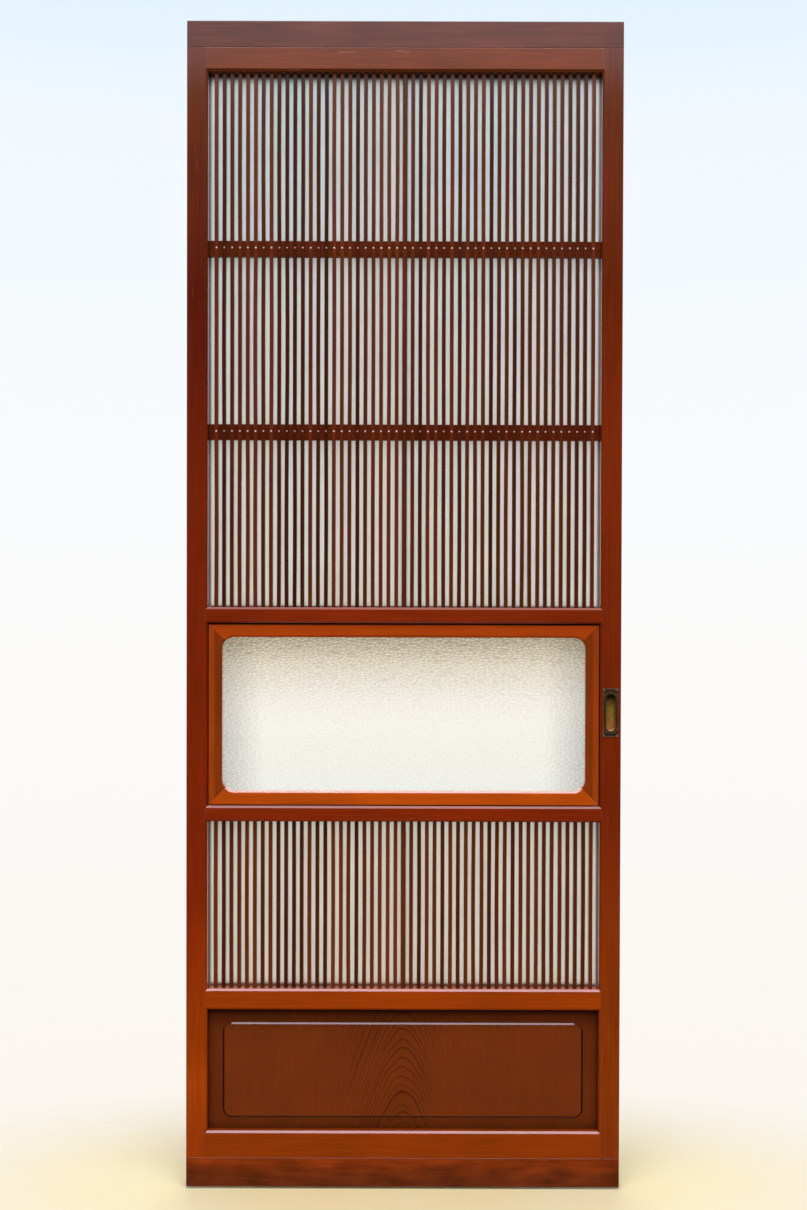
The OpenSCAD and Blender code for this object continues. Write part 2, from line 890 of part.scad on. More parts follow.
module pull_nails() {
    color(bright_brass) for (back_side = [0, 1]) mirror([0, back_side, 0]) {
        pull_nail();
        translate([0, 0, 2 * pull_z]) mirror([0, 0, 1]) pull_nail();
    }
}

// The two screws of one case, their heads in the flange and their points up
module case_screws(room) {
    cone_h = (case_screw_head_d - case_screw_d) / 2;
    for (side = [-1, 1]) translate([side * case_screw_x, 0, strip_low]) {
        cylinder(d1 = case_screw_head_d + 2 * room, d2 = case_screw_d + 2 * room, h = cone_h);
        cylinder(d = case_screw_d + 2 * room, h = case_screw_l + room);
    }
}

// The pressed case of one roller, a flange with two cheeks that carry the axle
module roller_case() {
    difference() {
        union() {
            block([-flange_l / 2, -flange_w / 2, strip_low], [flange_l / 2, flange_w / 2, strip_low + case_t]);
            for (side = [-1, 1]) translate([0, side * (cheek_in + cheek_out) / 2, 0])
                slab(-case_t / 2, case_t / 2) cheek_outline();
        }
        block([-cheek_l / 2, -cheek_in, strip_low - over], [cheek_l / 2, cheek_in, strip_low + case_t + over]);
        translate([0, 0, axle_z]) rotate([90, 0, 0]) cylinder(d = axle_d + 2 * axle_fit, h = flange_w, center = true);
        case_screws(fit);
    }
}

// One cheek of the case, narrowing to its top
module cheek_outline() {
    polygon([[-cheek_l / 2, strip_low], [cheek_l / 2, strip_low], [cheek_l / 2, strip_low + 2 * case_t],
             [cheek_top, case_high], [-cheek_top, case_high], [-cheek_l / 2, strip_low + 2 * case_t]]);
}

module roller_axle() {
    length = 2 * (cheek_out + axle_end);
    translate([0, 0, axle_z]) rotate([90, 0, 0]) cylinder(d = axle_d, h = length, center = true);
}

// The grooved wheel, turned about its axle, with a hub on each side
module roller_wheel() {
    r = wheel_d / 2;
    w = wheel_w / 2;
    web = wheel_web / 2;
    bore = axle_d / 2 + axle_fit;
    groove = r - wheel_groove;
    rim = groove - wheel_rim;
    translate([0, 0, axle_z]) rotate([90, 0, 0]) rotate_extrude() polygon([
        [bore, -w], [hub_r, -w], [hub_r, -web], [rim, -web], [rim, -w], [r, -w],
        [r, -w + wheel_lip], [groove, -wheel_lip / 2], [groove, wheel_lip / 2], [r, w - wheel_lip],
        [r, w], [rim, w], [rim, web], [hub_r, web], [hub_r, w], [bore, w]]);
}

module left_roller_case() {
    color(steel) translate([-roller_x, 0, 0]) roller_case();
}

module right_roller_case() {
    color(steel) translate([roller_x, 0, 0]) roller_case();
}

module left_roller_axle() {
    color(steel) translate([-roller_x, 0, 0]) roller_axle();
}

module right_roller_axle() {
    color(steel) translate([roller_x, 0, 0]) roller_axle();
}

module left_roller_wheel() {
    color(bright_brass) translate([-roller_x, 0, 0]) roller_wheel();
}

module right_roller_wheel() {
    color(bright_brass) translate([roller_x, 0, 0]) roller_wheel();
}

module roller_screws() {
    color(steel) for (side = [-1, 1]) translate([side * roller_x, 0, 0]) case_screws(0);
}

left_stile();
right_stile();
bottom_rail();
panel_rail();
lower_sash_rail();
upper_sash_rail();
top_rail();
bottom_strip();
top_strip();
bottom_strip_screws();
top_strip_screws();
upper_lattice_bars();
lower_lattice_bars();
upper_cross_rail();
lower_cross_rail();
lattice_nails();
upper_muntin();
lower_muntin();
upper_left_pane();
upper_right_pane();
lower_left_pane();
lower_right_pane();
upper_bead_top();
upper_bead_bottom();
upper_bead_left();
upper_bead_right();
upper_muntin_cap();
lower_bead_top();
lower_bead_bottom();
lower_bead_left();
lower_bead_right();
lower_muntin_cap();
sash_top();
sash_bottom();
sash_left();
sash_right();
figured_glass();
sash_batten_top();
sash_batten_bottom();
sash_batten_left();
sash_batten_right();
kick_panel();
front_pull_plate();
front_pull_cup();
back_pull_plate();
back_pull_cup();
pull_nails();
left_roller_case();
right_roller_case();
left_roller_axle();
right_roller_axle();
left_roller_wheel();
right_roller_wheel();
roller_screws();
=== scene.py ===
"""A sliding lattice door leaf of stained cedar: its finish, its glass and its fittings.

The leaf stands as it is put together, from the frame to the rollers, and each section below
dresses one piece or one group of like pieces. Lengths are metres.
"""

import math

import bpy
import numpy as np
from mathutils import Matrix, Vector


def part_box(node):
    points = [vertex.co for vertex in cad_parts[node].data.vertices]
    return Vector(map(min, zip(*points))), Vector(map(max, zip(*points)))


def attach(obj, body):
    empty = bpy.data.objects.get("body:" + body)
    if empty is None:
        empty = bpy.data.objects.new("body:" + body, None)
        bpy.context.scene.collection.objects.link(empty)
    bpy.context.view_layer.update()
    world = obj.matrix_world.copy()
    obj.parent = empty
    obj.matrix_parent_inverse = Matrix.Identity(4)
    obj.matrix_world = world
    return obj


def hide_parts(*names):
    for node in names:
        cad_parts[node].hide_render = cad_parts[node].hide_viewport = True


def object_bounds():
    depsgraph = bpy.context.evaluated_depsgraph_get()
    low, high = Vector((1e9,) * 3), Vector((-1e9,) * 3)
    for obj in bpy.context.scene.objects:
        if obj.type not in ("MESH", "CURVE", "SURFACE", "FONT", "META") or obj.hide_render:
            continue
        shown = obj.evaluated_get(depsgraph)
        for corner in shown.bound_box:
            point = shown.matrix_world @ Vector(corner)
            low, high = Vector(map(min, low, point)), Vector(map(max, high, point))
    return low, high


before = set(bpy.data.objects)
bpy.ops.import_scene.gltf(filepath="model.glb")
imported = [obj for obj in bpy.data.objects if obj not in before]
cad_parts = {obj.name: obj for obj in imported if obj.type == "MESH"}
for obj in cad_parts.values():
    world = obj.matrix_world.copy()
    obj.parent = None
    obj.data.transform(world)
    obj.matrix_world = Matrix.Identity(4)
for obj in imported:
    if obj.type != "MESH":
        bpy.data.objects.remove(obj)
cad_low, cad_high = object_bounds()


# Stiles
# The two uprights of the mortised frame, sawn from cedar, planed, chamfered along the inner
# edge, stained red-brown and lacquered. The grain runs up them, and the stain is paler low down.

MM = 0.001
# Sizes of the wood's figure in millimetres, across the grain and along it
FIBRE_LONG = 70
FIGURE_WIDE, FIGURE_LONG = 26, 520
SCRATCH_WIDE, SCRATCH_LONG = 1.3, 46
# How long its patches are for their width, and how closely its rings lie
PATCH_STRETCH = 2.4
RINGS = 48.0
# Relief of the fibres, reach of the painted shade in corners, and rounding of the edges
FIBRE_RELIEF = 0.12 * MM
CORNER_REACH = 7 * MM
ARRIS_ROUND = 0.9 * MM


def linear(code):
    """An sRGB hex colour as linear red, green, blue and alpha."""
    parts = [int(code[i:i + 2], 16) / 255 for i in (1, 3, 5)]
    return (*[c / 12.92 if c <= 0.04045 else ((c + 0.055) / 1.055) ** 2.4 for c in parts], 1.0)


def add(tree, kind, inputs=None, stops=(), **settings):
    """Adds one node, sets its properties and ramp stops, and fills or links its inputs."""
    made = tree.nodes.new("ShaderNode" + kind)
    for name, value in settings.items():
        setattr(made, name, value)
    for socket, value in (inputs or {}).items():
        if isinstance(value, bpy.types.NodeSocket):
            tree.links.new(value, made.inputs[socket])
        else:
            made.inputs[socket].default_value = value
    for i, (place, colour) in enumerate(stops):
        elements = made.color_ramp.elements
        stop = elements[i] if i < 2 else elements.new(place)
        stop.position, stop.color = place, colour
    return made


def new_material(name):
    """An empty node material and its tree, with only the output."""
    material = bpy.data.materials.new(name)
    material.use_nodes = True
    tree = material.node_tree
    tree.nodes.clear()
    add(tree, "OutputMaterial")
    return material, tree


def end(tree, shader):
    """Ends a material in this shader."""
    tree.links.new(shader.outputs[0], tree.nodes["Material Output"].inputs["Surface"])


def surface(tree, inputs):
    """Ends a material in one principled shader with these inputs."""
    end(tree, add(tree, "BsdfPrincipled", inputs))


def dress(material, *pieces):
    """Gives pieces, or CAD nodes by name, one material."""
    for piece in pieces:
        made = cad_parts[piece] if isinstance(piece, str) else piece
        made.data.materials.clear()
        made.data.materials.append(material)


def grain_noise(tree, place, along, across_mm, length_mm, shift, detail):
    """Noise drawn out along the grain, from its size across the grain and along it."""
    scale = [1 / (across_mm * MM)] * 3
    scale["xyz".index(along)] = 1 / (length_mm * MM)
    offset = (shift, shift * 0.7, shift * 1.3)
    moved = add(tree, "Mapping", {"Vector": place, "Scale": scale, "Location": offset}).outputs[0]
    return add(tree, "TexNoise", {"Vector": moved, "Scale": 1.0, "Detail": detail}).outputs[0]


def luck_of_bar(tree, x, pitch):
    """A random share for each bar of a lattice, the same all over the bar."""
    moved = add(tree, "Math", {0: x, 1: pitch / 2}, operation="ADD").outputs[0]
    which = add(tree, "Math", {0: moved, 1: pitch}, operation="SNAP").outputs[0]
    return add(tree, "TexWhiteNoise", {"W": which}, noise_dimensions="1D").outputs["Value"]


def cedar(name, along, means, streak=0.42, pale_tone="#b07a5c", wear=0.3, marks=0.25, roughness=0.26,
          coat=1.0, fibre_mm=1.2, patch_mm=70, patches=1.2, shift=0.0, bar_pitch=None, inner_shade=None,
          corner=0.35, top_highlight=0.0, eave=None):
    """Stained and lacquered cedar: satin, with fine fibres, broader rings, a patchy stain, edges
    rubbed pale, a few scratches and painted shade in tight corners. Undersides have no lacquer.

    along: the axis that the grain follows
    means: the stain's mean colour at each height
    streak, patches: how strongly the tone varies, and how much its patches add to that
    pale_tone: the colour of bare wood and of the painted highlight
    wear, marks: how far rubbed edges and scratches show it
    shift: moves the figure, so that pieces differ
    bar_pitch: the spacing of bars that each took the stain their own way
    inner_shade: place, width and share of a band of painted shade along a member's inner side
    corner: share of the stain's brightness left under the painted shade in tight corners
    top_highlight: how strongly a painted highlight pales the upturned faces
    eave: level and depth of the shadow of a piece that stands out above
    """
    material, tree = new_material(name)
    place = add(tree, "TexCoord").outputs["Object"]
    axes = add(tree, "SeparateXYZ", {0: place})

    # Figure of the wood
    fibre = grain_noise(tree, place, along, fibre_mm, FIBRE_LONG, shift, 4)
    broad = grain_noise(tree, place, along, FIGURE_WIDE, FIGURE_LONG, shift + 3, 2)
    patch = grain_noise(tree, place, along, patch_mm, PATCH_STRETCH * patch_mm, shift + 5, 2)
    turns = add(tree, "Math", {0: broad, 1: RINGS}, operation="MULTIPLY").outputs[0]
    rings = add(tree, "Math", {0: turns}, operation="SINE").outputs[0]
    tone = add(tree, "Math", {0: fibre, 1: 1.2, 2: -0.6}, operation="MULTIPLY_ADD").outputs[0]
    tone = add(tree, "Math", {0: rings, 1: 0.12, 2: tone}, operation="MULTIPLY_ADD").outputs[0]
    patchy = add(tree, "Math", {0: patch, 1: patches, 2: -patches / 2}, operation="MULTIPLY_ADD")
    tone = add(tree, "Math", {0: tone, 1: patchy.outputs[0]}, operation="ADD").outputs[0]
    bright = add(tree, "Math", {0: tone, 1: streak, 2: 1.0}, operation="MULTIPLY_ADD").outputs[0]

    # Stain, with a tone for each bar and painted shade along inner sides, under eaves and in corners
    if bar_pitch:
        luck = luck_of_bar(tree, axes.outputs["X"], bar_pitch)
        of_bar = add(tree, "Math", {0: luck, 1: 0.95, 2: 0.55}, operation="MULTIPLY_ADD").outputs[0]
        bright = add(tree, "Math", {0: bright, 1: of_bar}, operation="MULTIPLY").outputs[0]
    if inner_shade:
        edge, width, share = inner_shade
        aside = add(tree, "Math", {0: axes.outputs["X"]}, operation="ABSOLUTE").outputs[0]
        shade = add(tree, "MapRange", {"Value": aside, "From Min": edge + 0.45 * width,
                                       "From Max": edge + 0.6 * width, "To Min": share}).outputs[0]
        bright = add(tree, "Math", {0: bright, 1: shade}, operation="MULTIPLY").outputs[0]
    if eave:
        shadow_top, depth = eave
        shade = add(tree, "MapRange", {"Value": axes.outputs["Z"], "From Min": shadow_top - depth,
                                       "From Max": shadow_top, "To Min": 1.0, "To Max": 0.1}).outputs[0]
        bright = add(tree, "Math", {0: bright, 1: shade}, operation="MULTIPLY").outputs[0]
    top = cad_high.z
    level = add(tree, "Math", {0: axes.outputs["Z"], 1: top}, operation="DIVIDE").outputs[0]
    mean = add(tree, "ValToRGB", {0: level}, [(z / top, linear(code)) for z, code in means]).outputs[0]
    # Painted shade in tight corners, from ambient occlusion
    nook = add(tree, "AmbientOcclusion", {"Distance": CORNER_REACH}, samples=4).outputs["AO"]
    shade_in_corners = add(tree, "MapRange", {"Value": nook, "From Min": 0.25, "From Max": 0.7, "To Min": corner})
    bright = add(tree, "Math", {0: bright, 1: shade_in_corners.outputs[0]}, operation="MULTIPLY").outputs[0]
    stain = add(tree, "VectorMath", {0: mean, "Scale": bright}, operation="SCALE").outputs[0]

    # Bare wood on edges and scratches, and a painted highlight on upturned faces
    soft = add(tree, "Bevel", {"Radius": ARRIS_ROUND}, samples=4).outputs[0]
    true = add(tree, "NewGeometry").outputs["Normal"]
    facing = add(tree, "VectorMath", {0: soft, 1: true}, operation="DOT_PRODUCT").outputs["Value"]
    pale_share = add(tree, "MapRange", {"Value": facing, "From Min": 0.99, "From Max": 0.8, "To Max": wear})
    scratch = grain_noise(tree, place, along, SCRATCH_WIDE, SCRATCH_LONG, shift + 9, 3)
    scratched = add(tree, "MapRange", {"Value": scratch, "From Min": 0.7, "From Max": 0.8, "To Max": marks})
    wear_and_highlight = add(tree, "Math", {0: pale_share.outputs[0], 1: scratched.outputs[0]}, operation="MAXIMUM")
    wear_and_highlight = wear_and_highlight.outputs[0]
    upward = add(tree, "SeparateXYZ", {0: true}).outputs["Z"]
    if top_highlight:
        painted_highlight = add(tree, "MapRange", {"Value": upward, "From Min": 0.35, "From Max": 0.7,
                                        "To Max": top_highlight})
        wear_and_highlight = add(tree, "Math", {0: wear_and_highlight, 1: painted_highlight.outputs[0]}, operation="MAXIMUM").outputs[0]
    colour = add(tree, "Mix", {0: wear_and_highlight, 6: stain, 7: linear(pale_tone)}, data_type="RGBA").outputs[2]

    # Fibres felt under the lacquer
    rough = add(tree, "Math", {0: fibre, 1: 0.22, 2: roughness - 0.11}, operation="MULTIPLY_ADD").outputs[0]
    bump = add(tree, "Bump", {"Height": fibre, "Distance": FIBRE_RELIEF, "Strength": 0.5, "Normal": soft})
    lacquer = add(tree, "MapRange", {"Value": upward, "From Min": -0.9, "From Max": -0.6, "To Max": coat})
    surface(tree, {"Base Color": colour, "Roughness": rough, "Normal": bump.outputs[0], "IOR": 1.5,
                   "Specular IOR Level": 0.05, "Coat Weight": lacquer.outputs[0],
                   "Coat Roughness": 0.4 * roughness, "Coat Normal": soft})
    return material


LEFT_STAIN = [(0.00, "#97380a"), (0.17, "#ab4403"), (0.46, "#882701"), (0.78, "#7a2200"),
              (1.09, "#6e1f02"), (1.41, "#541707"), (1.75, "#5c2a14")]
RIGHT_STAIN = [(0.00, "#8a370a"), (0.17, "#983f07"), (0.62, "#7b2501"), (1.09, "#762502"),
               (1.41, "#642103"), (1.75, "#582914")]
dress(cedar("left_stile_cedar", "z", LEFT_STAIN, shift=1.0), "left_stile")
dress(cedar("right_stile_cedar", "z", RIGHT_STAIN, shift=1.5), "right_stile")


# Rails
# Five rails tenoned between the stiles, of the same cedar with the grain running across. Their
# upward chamfers catch the light, most of all on the two at the sash, where a painted highlight
# also pales them. The top rail is dry and worn.

RAIL_STAIN = [(0.00, "#913a05"), (0.09, "#913a05"), (0.30, "#a44104"), (0.60, "#842601"),
              (0.93, "#7e2501"), (1.78, "#652b08")]
dress(cedar("rail_cedar", "x", RAIL_STAIN, shift=2.0), "bottom_rail", "panel_rail")
dress(cedar("sash_rail_cedar", "x", RAIL_STAIN, wear=0.32, pale_tone="#c89c8e", top_highlight=0.3, shift=2.0),
      "lower_sash_rail", "upper_sash_rail")
dress(cedar("dry_rail_cedar", "x", RAIL_STAIN, streak=0.6, marks=0.5, wear=0.6, pale_tone="#c8ac9c",
            shift=2.6), "top_rail")


# Added strips
# A strip screwed along the top edge and another along the bottom edge, cut from other stock. The
# top one is dry and greyed, the bottom one is redder, scuffed and blotched by wet floors.

GREYED_STAIN = [(0.0, "#542b1d"), (1.85, "#542b1d")]
SCUFFED_STAIN = [(0.0, "#642b11"), (0.022, "#6c2e0f"), (0.042, "#843308")]
dress(cedar("greyed_cedar", "x", GREYED_STAIN, streak=0.62, patches=1.9, marks=0.4, wear=0.2,
            roughness=0.42, pale_tone="#a98d84", fibre_mm=1.6, shift=4.0), "top_strip")
dress(cedar("scuffed_cedar", "x", SCUFFED_STAIN, streak=0.6, patch_mm=22, patches=2.6, marks=0.35,
            wear=0.5, roughness=0.36, pale_tone="#b98c6c", shift=6.0), "bottom_strip")


# Fastenings of the strips and rollers
# Countersunk steel screws with a dull zinc skin, which hold the strips to the frame and the roller
# cases to the bottom strip. They look grey and a little cloudy.

CLOUD_MM = 6


def plain_metal(name, dark, light, rough, grit_mm):
    """Bare or plated metal: two tones clouded together, with roughness and fine pits to match."""
    material, tree = new_material(name)
    place = add(tree, "TexCoord").outputs["Object"]
    cloud = add(tree, "TexNoise", {"Vector": place, "Scale": 1 / (CLOUD_MM * MM), "Detail": 5.0}).outputs[0]
    grit = add(tree, "TexNoise", {"Vector": place, "Scale": 1 / (grit_mm * MM), "Detail": 3.0}).outputs[0]
    tone = add(tree, "ValToRGB", {0: cloud}, [(0.35, linear(dark)), (0.65, linear(light))]).outputs[0]
    roughness = add(tree, "Math", {0: grit, 1: 0.24, 2: rough - 0.12}, operation="MULTIPLY_ADD").outputs[0]
    bump = add(tree, "Bump", {"Height": grit, "Distance": 0.05 * MM, "Strength": 0.4}).outputs[0]
    surface(tree, {"Base Color": tone, "Roughness": roughness, "Normal": bump, "Metallic": 1.0})
    return material


dress(plain_metal("zinc_steel", "#7d7d78", "#a9a9a4", 0.42, 0.8),
      "bottom_strip_screws", "top_strip_screws", "roller_screws")


# Cross rails
# Two thin rails across the upper lattice, of the same stained cedar. They are housed in the stiles
# and notched in front for every bar.

CROSS_STAIN = [(1.2, "#4c1905"), (1.5, "#4a1c07")]
dress(cedar("cross_rail_cedar", "x", CROSS_STAIN, streak=0.7, marks=0.2, wear=0.15, pale_tone="#8a5238",
            shift=8.0), "upper_cross_rail", "lower_cross_rail")


# Lattice bars
# Thin cedar laths, machined square with the arrises just broken, stained before they were set in
# their housings. Each took the stain its own way, and between its fixings each has bowed a little.

BAR_STAIN = [(0.3, "#65280a"), (0.6, "#5a2307"), (1.05, "#4f1d07"), (1.35, "#4d1d08"), (1.7, "#4e240f")]
BAR_COUNT = 49
BAR_W = 6.2 * MM
ARRIS = 0.35 * MM
BOW = 0.75 * MM
STATION = 33 * MM
LAP_STEP = 0.05 * MM
chance = np.random.RandomState(7)


def mesh_piece(name, points, faces, material, smooth=0):
    """A new object from points and faces, with one material. Its first faces may be smooth."""
    mesh = bpy.data.meshes.new(name)
    mesh.from_pydata([tuple(p) for p in points], [], faces)
    mesh.update()
    mesh.polygons.foreach_set("use_smooth", [i < smooth for i in range(len(mesh.polygons))])
    made = bpy.data.objects.new(name, mesh)
    bpy.context.scene.collection.objects.link(made)
    dress(material, made)
    return made


def bar_stations(low, high, notches):
    """Levels up a bar, each with whether the bar has its full depth there."""
    stations = []
    start = low
    for notch_low, notch_high in notches + [(high, None)]:
        count = max(2, round((notch_low - start) / STATION))
        stations += [(z, True) for z in np.linspace(start, notch_low, count + 1)]
        if notch_high is not None:
            stations += [(notch_low + LAP_STEP, False), (notch_high - LAP_STEP, False)]
            start = notch_high
    return stations


def lattice(node, notches):
    """All bars of one lattice as one mesh, with their laps, broken arrises and slight bows."""
    low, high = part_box(node)
    places = np.linspace(low.x + BAR_W / 2, high.x - BAR_W / 2, BAR_COUNT)
    lap = (low.y + high.y) / 2
    fixings = [low.z] + [z for notch in notches for z in notch] + [high.z]
    stations = bar_stations(low.z, high.z, notches)
    points, faces = [], []
    w, a = BAR_W / 2, ARRIS
    for x in places:
        bows = chance.normal(0, 0.4, len(fixings) - 1).clip(-1, 1) * BOW
        start = len(points)
        for z, full in stations:
            tier = min(max(np.searchsorted(fixings, z) - 1, 0), len(bows) - 1)
            share = (z - fixings[tier]) / (fixings[tier + 1] - fixings[tier])
            middle = x + (bows[tier] * math.sin(math.pi * share) if full else 0.0)
            f, b = low.y, high.y if full else lap
            ring = [(a - w, f), (w - a, f), (w, f + a), (w, b - a),
                    (w - a, b), (a - w, b), (-w, b - a), (-w, f + a)]
            points += [(middle + dx, y, z) for dx, y in ring]
        for i in range(len(stations) - 1):
            base = start + 8 * i
            faces += [(base + j, base + (j + 1) % 8, base + 8 + (j + 1) % 8, base + 8 + j)
                      for j in range(8)]
        faces.append(tuple(range(start + 7, start - 1, -1)))
        last = start + 8 * (len(stations) - 1)
        faces.append(tuple(range(last, last + 8)))
    return points, faces


low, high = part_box("upper_lattice_bars")
bar_pitch = (high.x - low.x - BAR_W) / (BAR_COUNT - 1)
bar_cedar = cedar("bar_cedar", "z", BAR_STAIN, marks=0.15, wear=0.12, pale_tone="#8a5238", roughness=0.3,
                  shift=12.0, bar_pitch=bar_pitch)
laps = [tuple(p.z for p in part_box(node)) for node in ("lower_cross_rail", "upper_cross_rail")]
for node, notches in (("upper_lattice_bars", laps), ("lower_lattice_bars", [])):
    bars = mesh_piece(node.replace("_bars", "_laths"), *lattice(node, notches), bar_cedar)
    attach(bars, "leaf")
    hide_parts(node)


# Lattice nails
# A small domed nail through every bar into the cross rail behind it, of steel coloured near white
# as a painted highlight, paler and smoother on some bars than on others.

material, tree = new_material("nail_steel_with_painted_glint")
place = add(tree, "SeparateXYZ", {0: add(tree, "TexCoord").outputs["Object"]})
luck = luck_of_bar(tree, place.outputs["X"], bar_pitch)
# Near-white tone as a painted highlight, paler on some bars than on others
tone = add(tree, "ValToRGB", {0: luck}, [(0.0, linear("#b09a90")), (1.0, linear("#fff3ee"))]).outputs[0]
rough = add(tree, "MapRange", {"Value": luck, "To Min": 0.5, "To Max": 0.25}).outputs[0]
surface(tree, {"Base Color": tone, "Roughness": rough, "Metallic": 0.35})
dress(material, "lattice_nails")


# Muntins and frosted panes
# Behind each lattice two panes of acid-frosted glass meet on a slim muntin at the middle bar. The
# glass lets light through. Its tone is painted light, a warm white low down and a cool one high up,
# with painted shade between the bars and a painted shadow under the top rail.

# Painted light: warm white low down, cool white high up
PANE_TONE = [(0.45, "#f3f0e4"), (1.06, "#efeee4"), (1.35, "#e8e9e3"), (1.64, "#dbe6e3")]
FROST = 0.9 * MM
PANE_CLOUD = 70 * MM
BAR_SHADE = 22 * MM
RAIL_SHADE = 14 * MM
dress(bar_cedar, "upper_muntin", "lower_muntin")

material, tree = new_material("frosted_glass")
place = add(tree, "TexCoord").outputs["Object"]
frost = add(tree, "TexNoise", {"Vector": place, "Scale": 1 / FROST, "Detail": 3.0}).outputs[0]
cloud = add(tree, "TexNoise", {"Vector": place, "Scale": 1 / PANE_CLOUD, "Detail": 2.0}).outputs[0]
axes = add(tree, "SeparateXYZ", {0: place})
level = add(tree, "Math", {0: axes.outputs["Z"], 1: cad_high.z}, operation="DIVIDE").outputs[0]
stops = [(z / cad_high.z, linear(code)) for z, code in PANE_TONE]
tone = add(tree, "ValToRGB", {0: level}, stops).outputs[0]
# Painted shade between the bars, and a painted shadow under the top rail
nook = add(tree, "AmbientOcclusion", {"Distance": BAR_SHADE}, samples=16).outputs["AO"]
shade = add(tree, "MapRange", {"Value": nook, "From Min": 0.03, "From Max": 0.15, "To Min": 0.2}).outputs[0]
rail_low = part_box("top_rail")[0].z
under = add(tree, "MapRange", {"Value": axes.outputs["Z"], "From Min": rail_low - RAIL_SHADE,
                               "From Max": rail_low, "To Min": 1.0, "To Max": 0.1}).outputs[0]
shade = add(tree, "Math", {0: shade, 1: under}, operation="MULTIPLY").outputs[0]
cloudy = add(tree, "MapRange", {"Value": cloud, "From Min": 0.3, "From Max": 0.7, "To Min": 0.96,
                                "To Max": 1.03}).outputs[0]
shade = add(tree, "Math", {0: shade, 1: cloudy}, operation="MULTIPLY").outputs[0]
tone = add(tree, "VectorMath", {0: tone, "Scale": shade}, operation="SCALE").outputs[0]
rough = add(tree, "MapRange", {"Value": frost, "To Min": 0.35, "To Max": 0.55}).outputs[0]
bump = add(tree, "Bump", {"Height": frost, "Distance": 0.05 * MM, "Strength": 0.3}).outputs[0]
surface(tree, {"Base Color": tone, "Roughness": rough, "Normal": bump, "IOR": 1.5,
               "Transmission Weight": 0.75})
panes = ("upper_left_pane", "upper_right_pane", "lower_left_pane", "lower_right_pane")
dress(material, *panes)
for pane in panes:
    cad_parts[pane].visible_shadow = False


# Beads and muntin caps
# Planed cedar strips pinned behind the panes, a shade plainer than the frame because nobody sees
# them. The level ones have their grain across, the upright ones have it upwards.

BACK_STAIN = [(0.0, "#7a3410"), (1.85, "#6b2c0e")]
level_bead = cedar("level_bead_cedar", "x", BACK_STAIN, wear=0.2, roughness=0.42, coat=0.2, shift=14.0)
upright_bead = cedar("upright_bead_cedar", "z", BACK_STAIN, wear=0.2, roughness=0.42, coat=0.2,
                     shift=15.0)
dress(level_bead, "upper_bead_top", "upper_bead_bottom", "lower_bead_top", "lower_bead_bottom")
dress(upright_bead, "upper_bead_left", "upper_bead_right", "upper_muntin_cap", "lower_bead_left",
      "lower_bead_right", "lower_muntin_cap")


# Sash
# Four mitred members of a paler, more orange wood, moulded with a round inner edge and set in the
# frame with a shadow gap, where strong painted shade darkens the corners. The top one has a painted
# shadow of its rail, the bottom one a painted highlight along its upturned edge, and the upright
# ones are a little darker, with painted shade along their inner side.

SASH_STAIN = [(0.62, "#bd4d02"), (0.89, "#a93f02")]
UPRIGHT_STAIN = [(0.6, "#a04106"), (0.93, "#983d06")]
# Painted shadow of the upper sash rail across the top of the sash
SHADOW_DROP = 2.6 * MM
SHADOW_DEPTH = 1.4 * MM
shadow_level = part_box("upper_sash_rail")[0].z - SHADOW_DROP
dress(cedar("sash_top_cedar", "x", SASH_STAIN, wear=0.0, pale_tone="#c07a45", shift=16.0, corner=0.1,
            eave=(shadow_level, SHADOW_DEPTH)), "sash_top")
dress(cedar("sash_bottom_cedar", "x", SASH_STAIN, wear=0.1, marks=0.15, pale_tone="#f2d6c6", shift=16.0,
            corner=0.1, top_highlight=0.6), "sash_bottom")
low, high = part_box("sash_right")
dress(cedar("upright_sash_cedar", "z", UPRIGHT_STAIN, wear=0.4, pale_tone="#d08a50", shift=17.0,
            inner_shade=(low.x, high.x - low.x, 0.66), corner=0.1), "sash_left", "sash_right")


# Figured glass
# One pane of rolled glass in the sash, its face pressed into close pebbles and its back flat. The
# pebbles, drawn a little coarser than real ones so that they show, break up what stands behind.
# Their creases carry painted shade towards the top and the sides, where less light comes through.

PEBBLE = Vector((7.6 * MM, 3.9 * MM))
GLASS_STEP = Vector((1.9 * MM, 0.0, 1.2 * MM))
CREASE = 0.9 * MM
RIPPLE = 2.2 * MM
SIDE_BAND = (75 * MM, 10 * MM)
TOP_BAND = (150 * MM, 20 * MM)


def grid(rows, columns):
    """The point numbers of a grid, and its squares as four point numbers each."""
    index = np.arange(rows * columns).reshape(rows, columns)
    return index, np.stack([index[:-1, :-1], index[:-1, 1:], index[1:, 1:], index[1:, :-1]], -1)


def pebble_depth(across, up):
    """How far the rolled face lies below its highest point: creases between jittered pebbles."""
    cells = (int(across.max() / PEBBLE.x) + 3, int(up.max() / PEBBLE.y) + 3)
    jitter = np.random.RandomState(11).uniform(0.0, 1.0, (*cells, 2))
    col, row = (across / PEBBLE.x).astype(int), (up / PEBBLE.y).astype(int)
    near = np.full(across.shape, 9.0)
    second = near.copy()
    for dc in (-1, 0, 1):
        for dr in (-1, 0, 1):
            c, r = col + dc, row + dr
            spot = jitter[c % cells[0], r % cells[1]]
            far = np.hypot(c + spot[..., 0] - across / PEBBLE.x, r + spot[..., 1] - up / PEBBLE.y)
            second = np.minimum(second, np.maximum(near, far))
            near = np.minimum(near, far)
    crease = np.exp(-((second - near) / 0.3) ** 2)
    return CREASE * (0.7 * crease + 0.3 * near.clip(0, 1) ** 2)


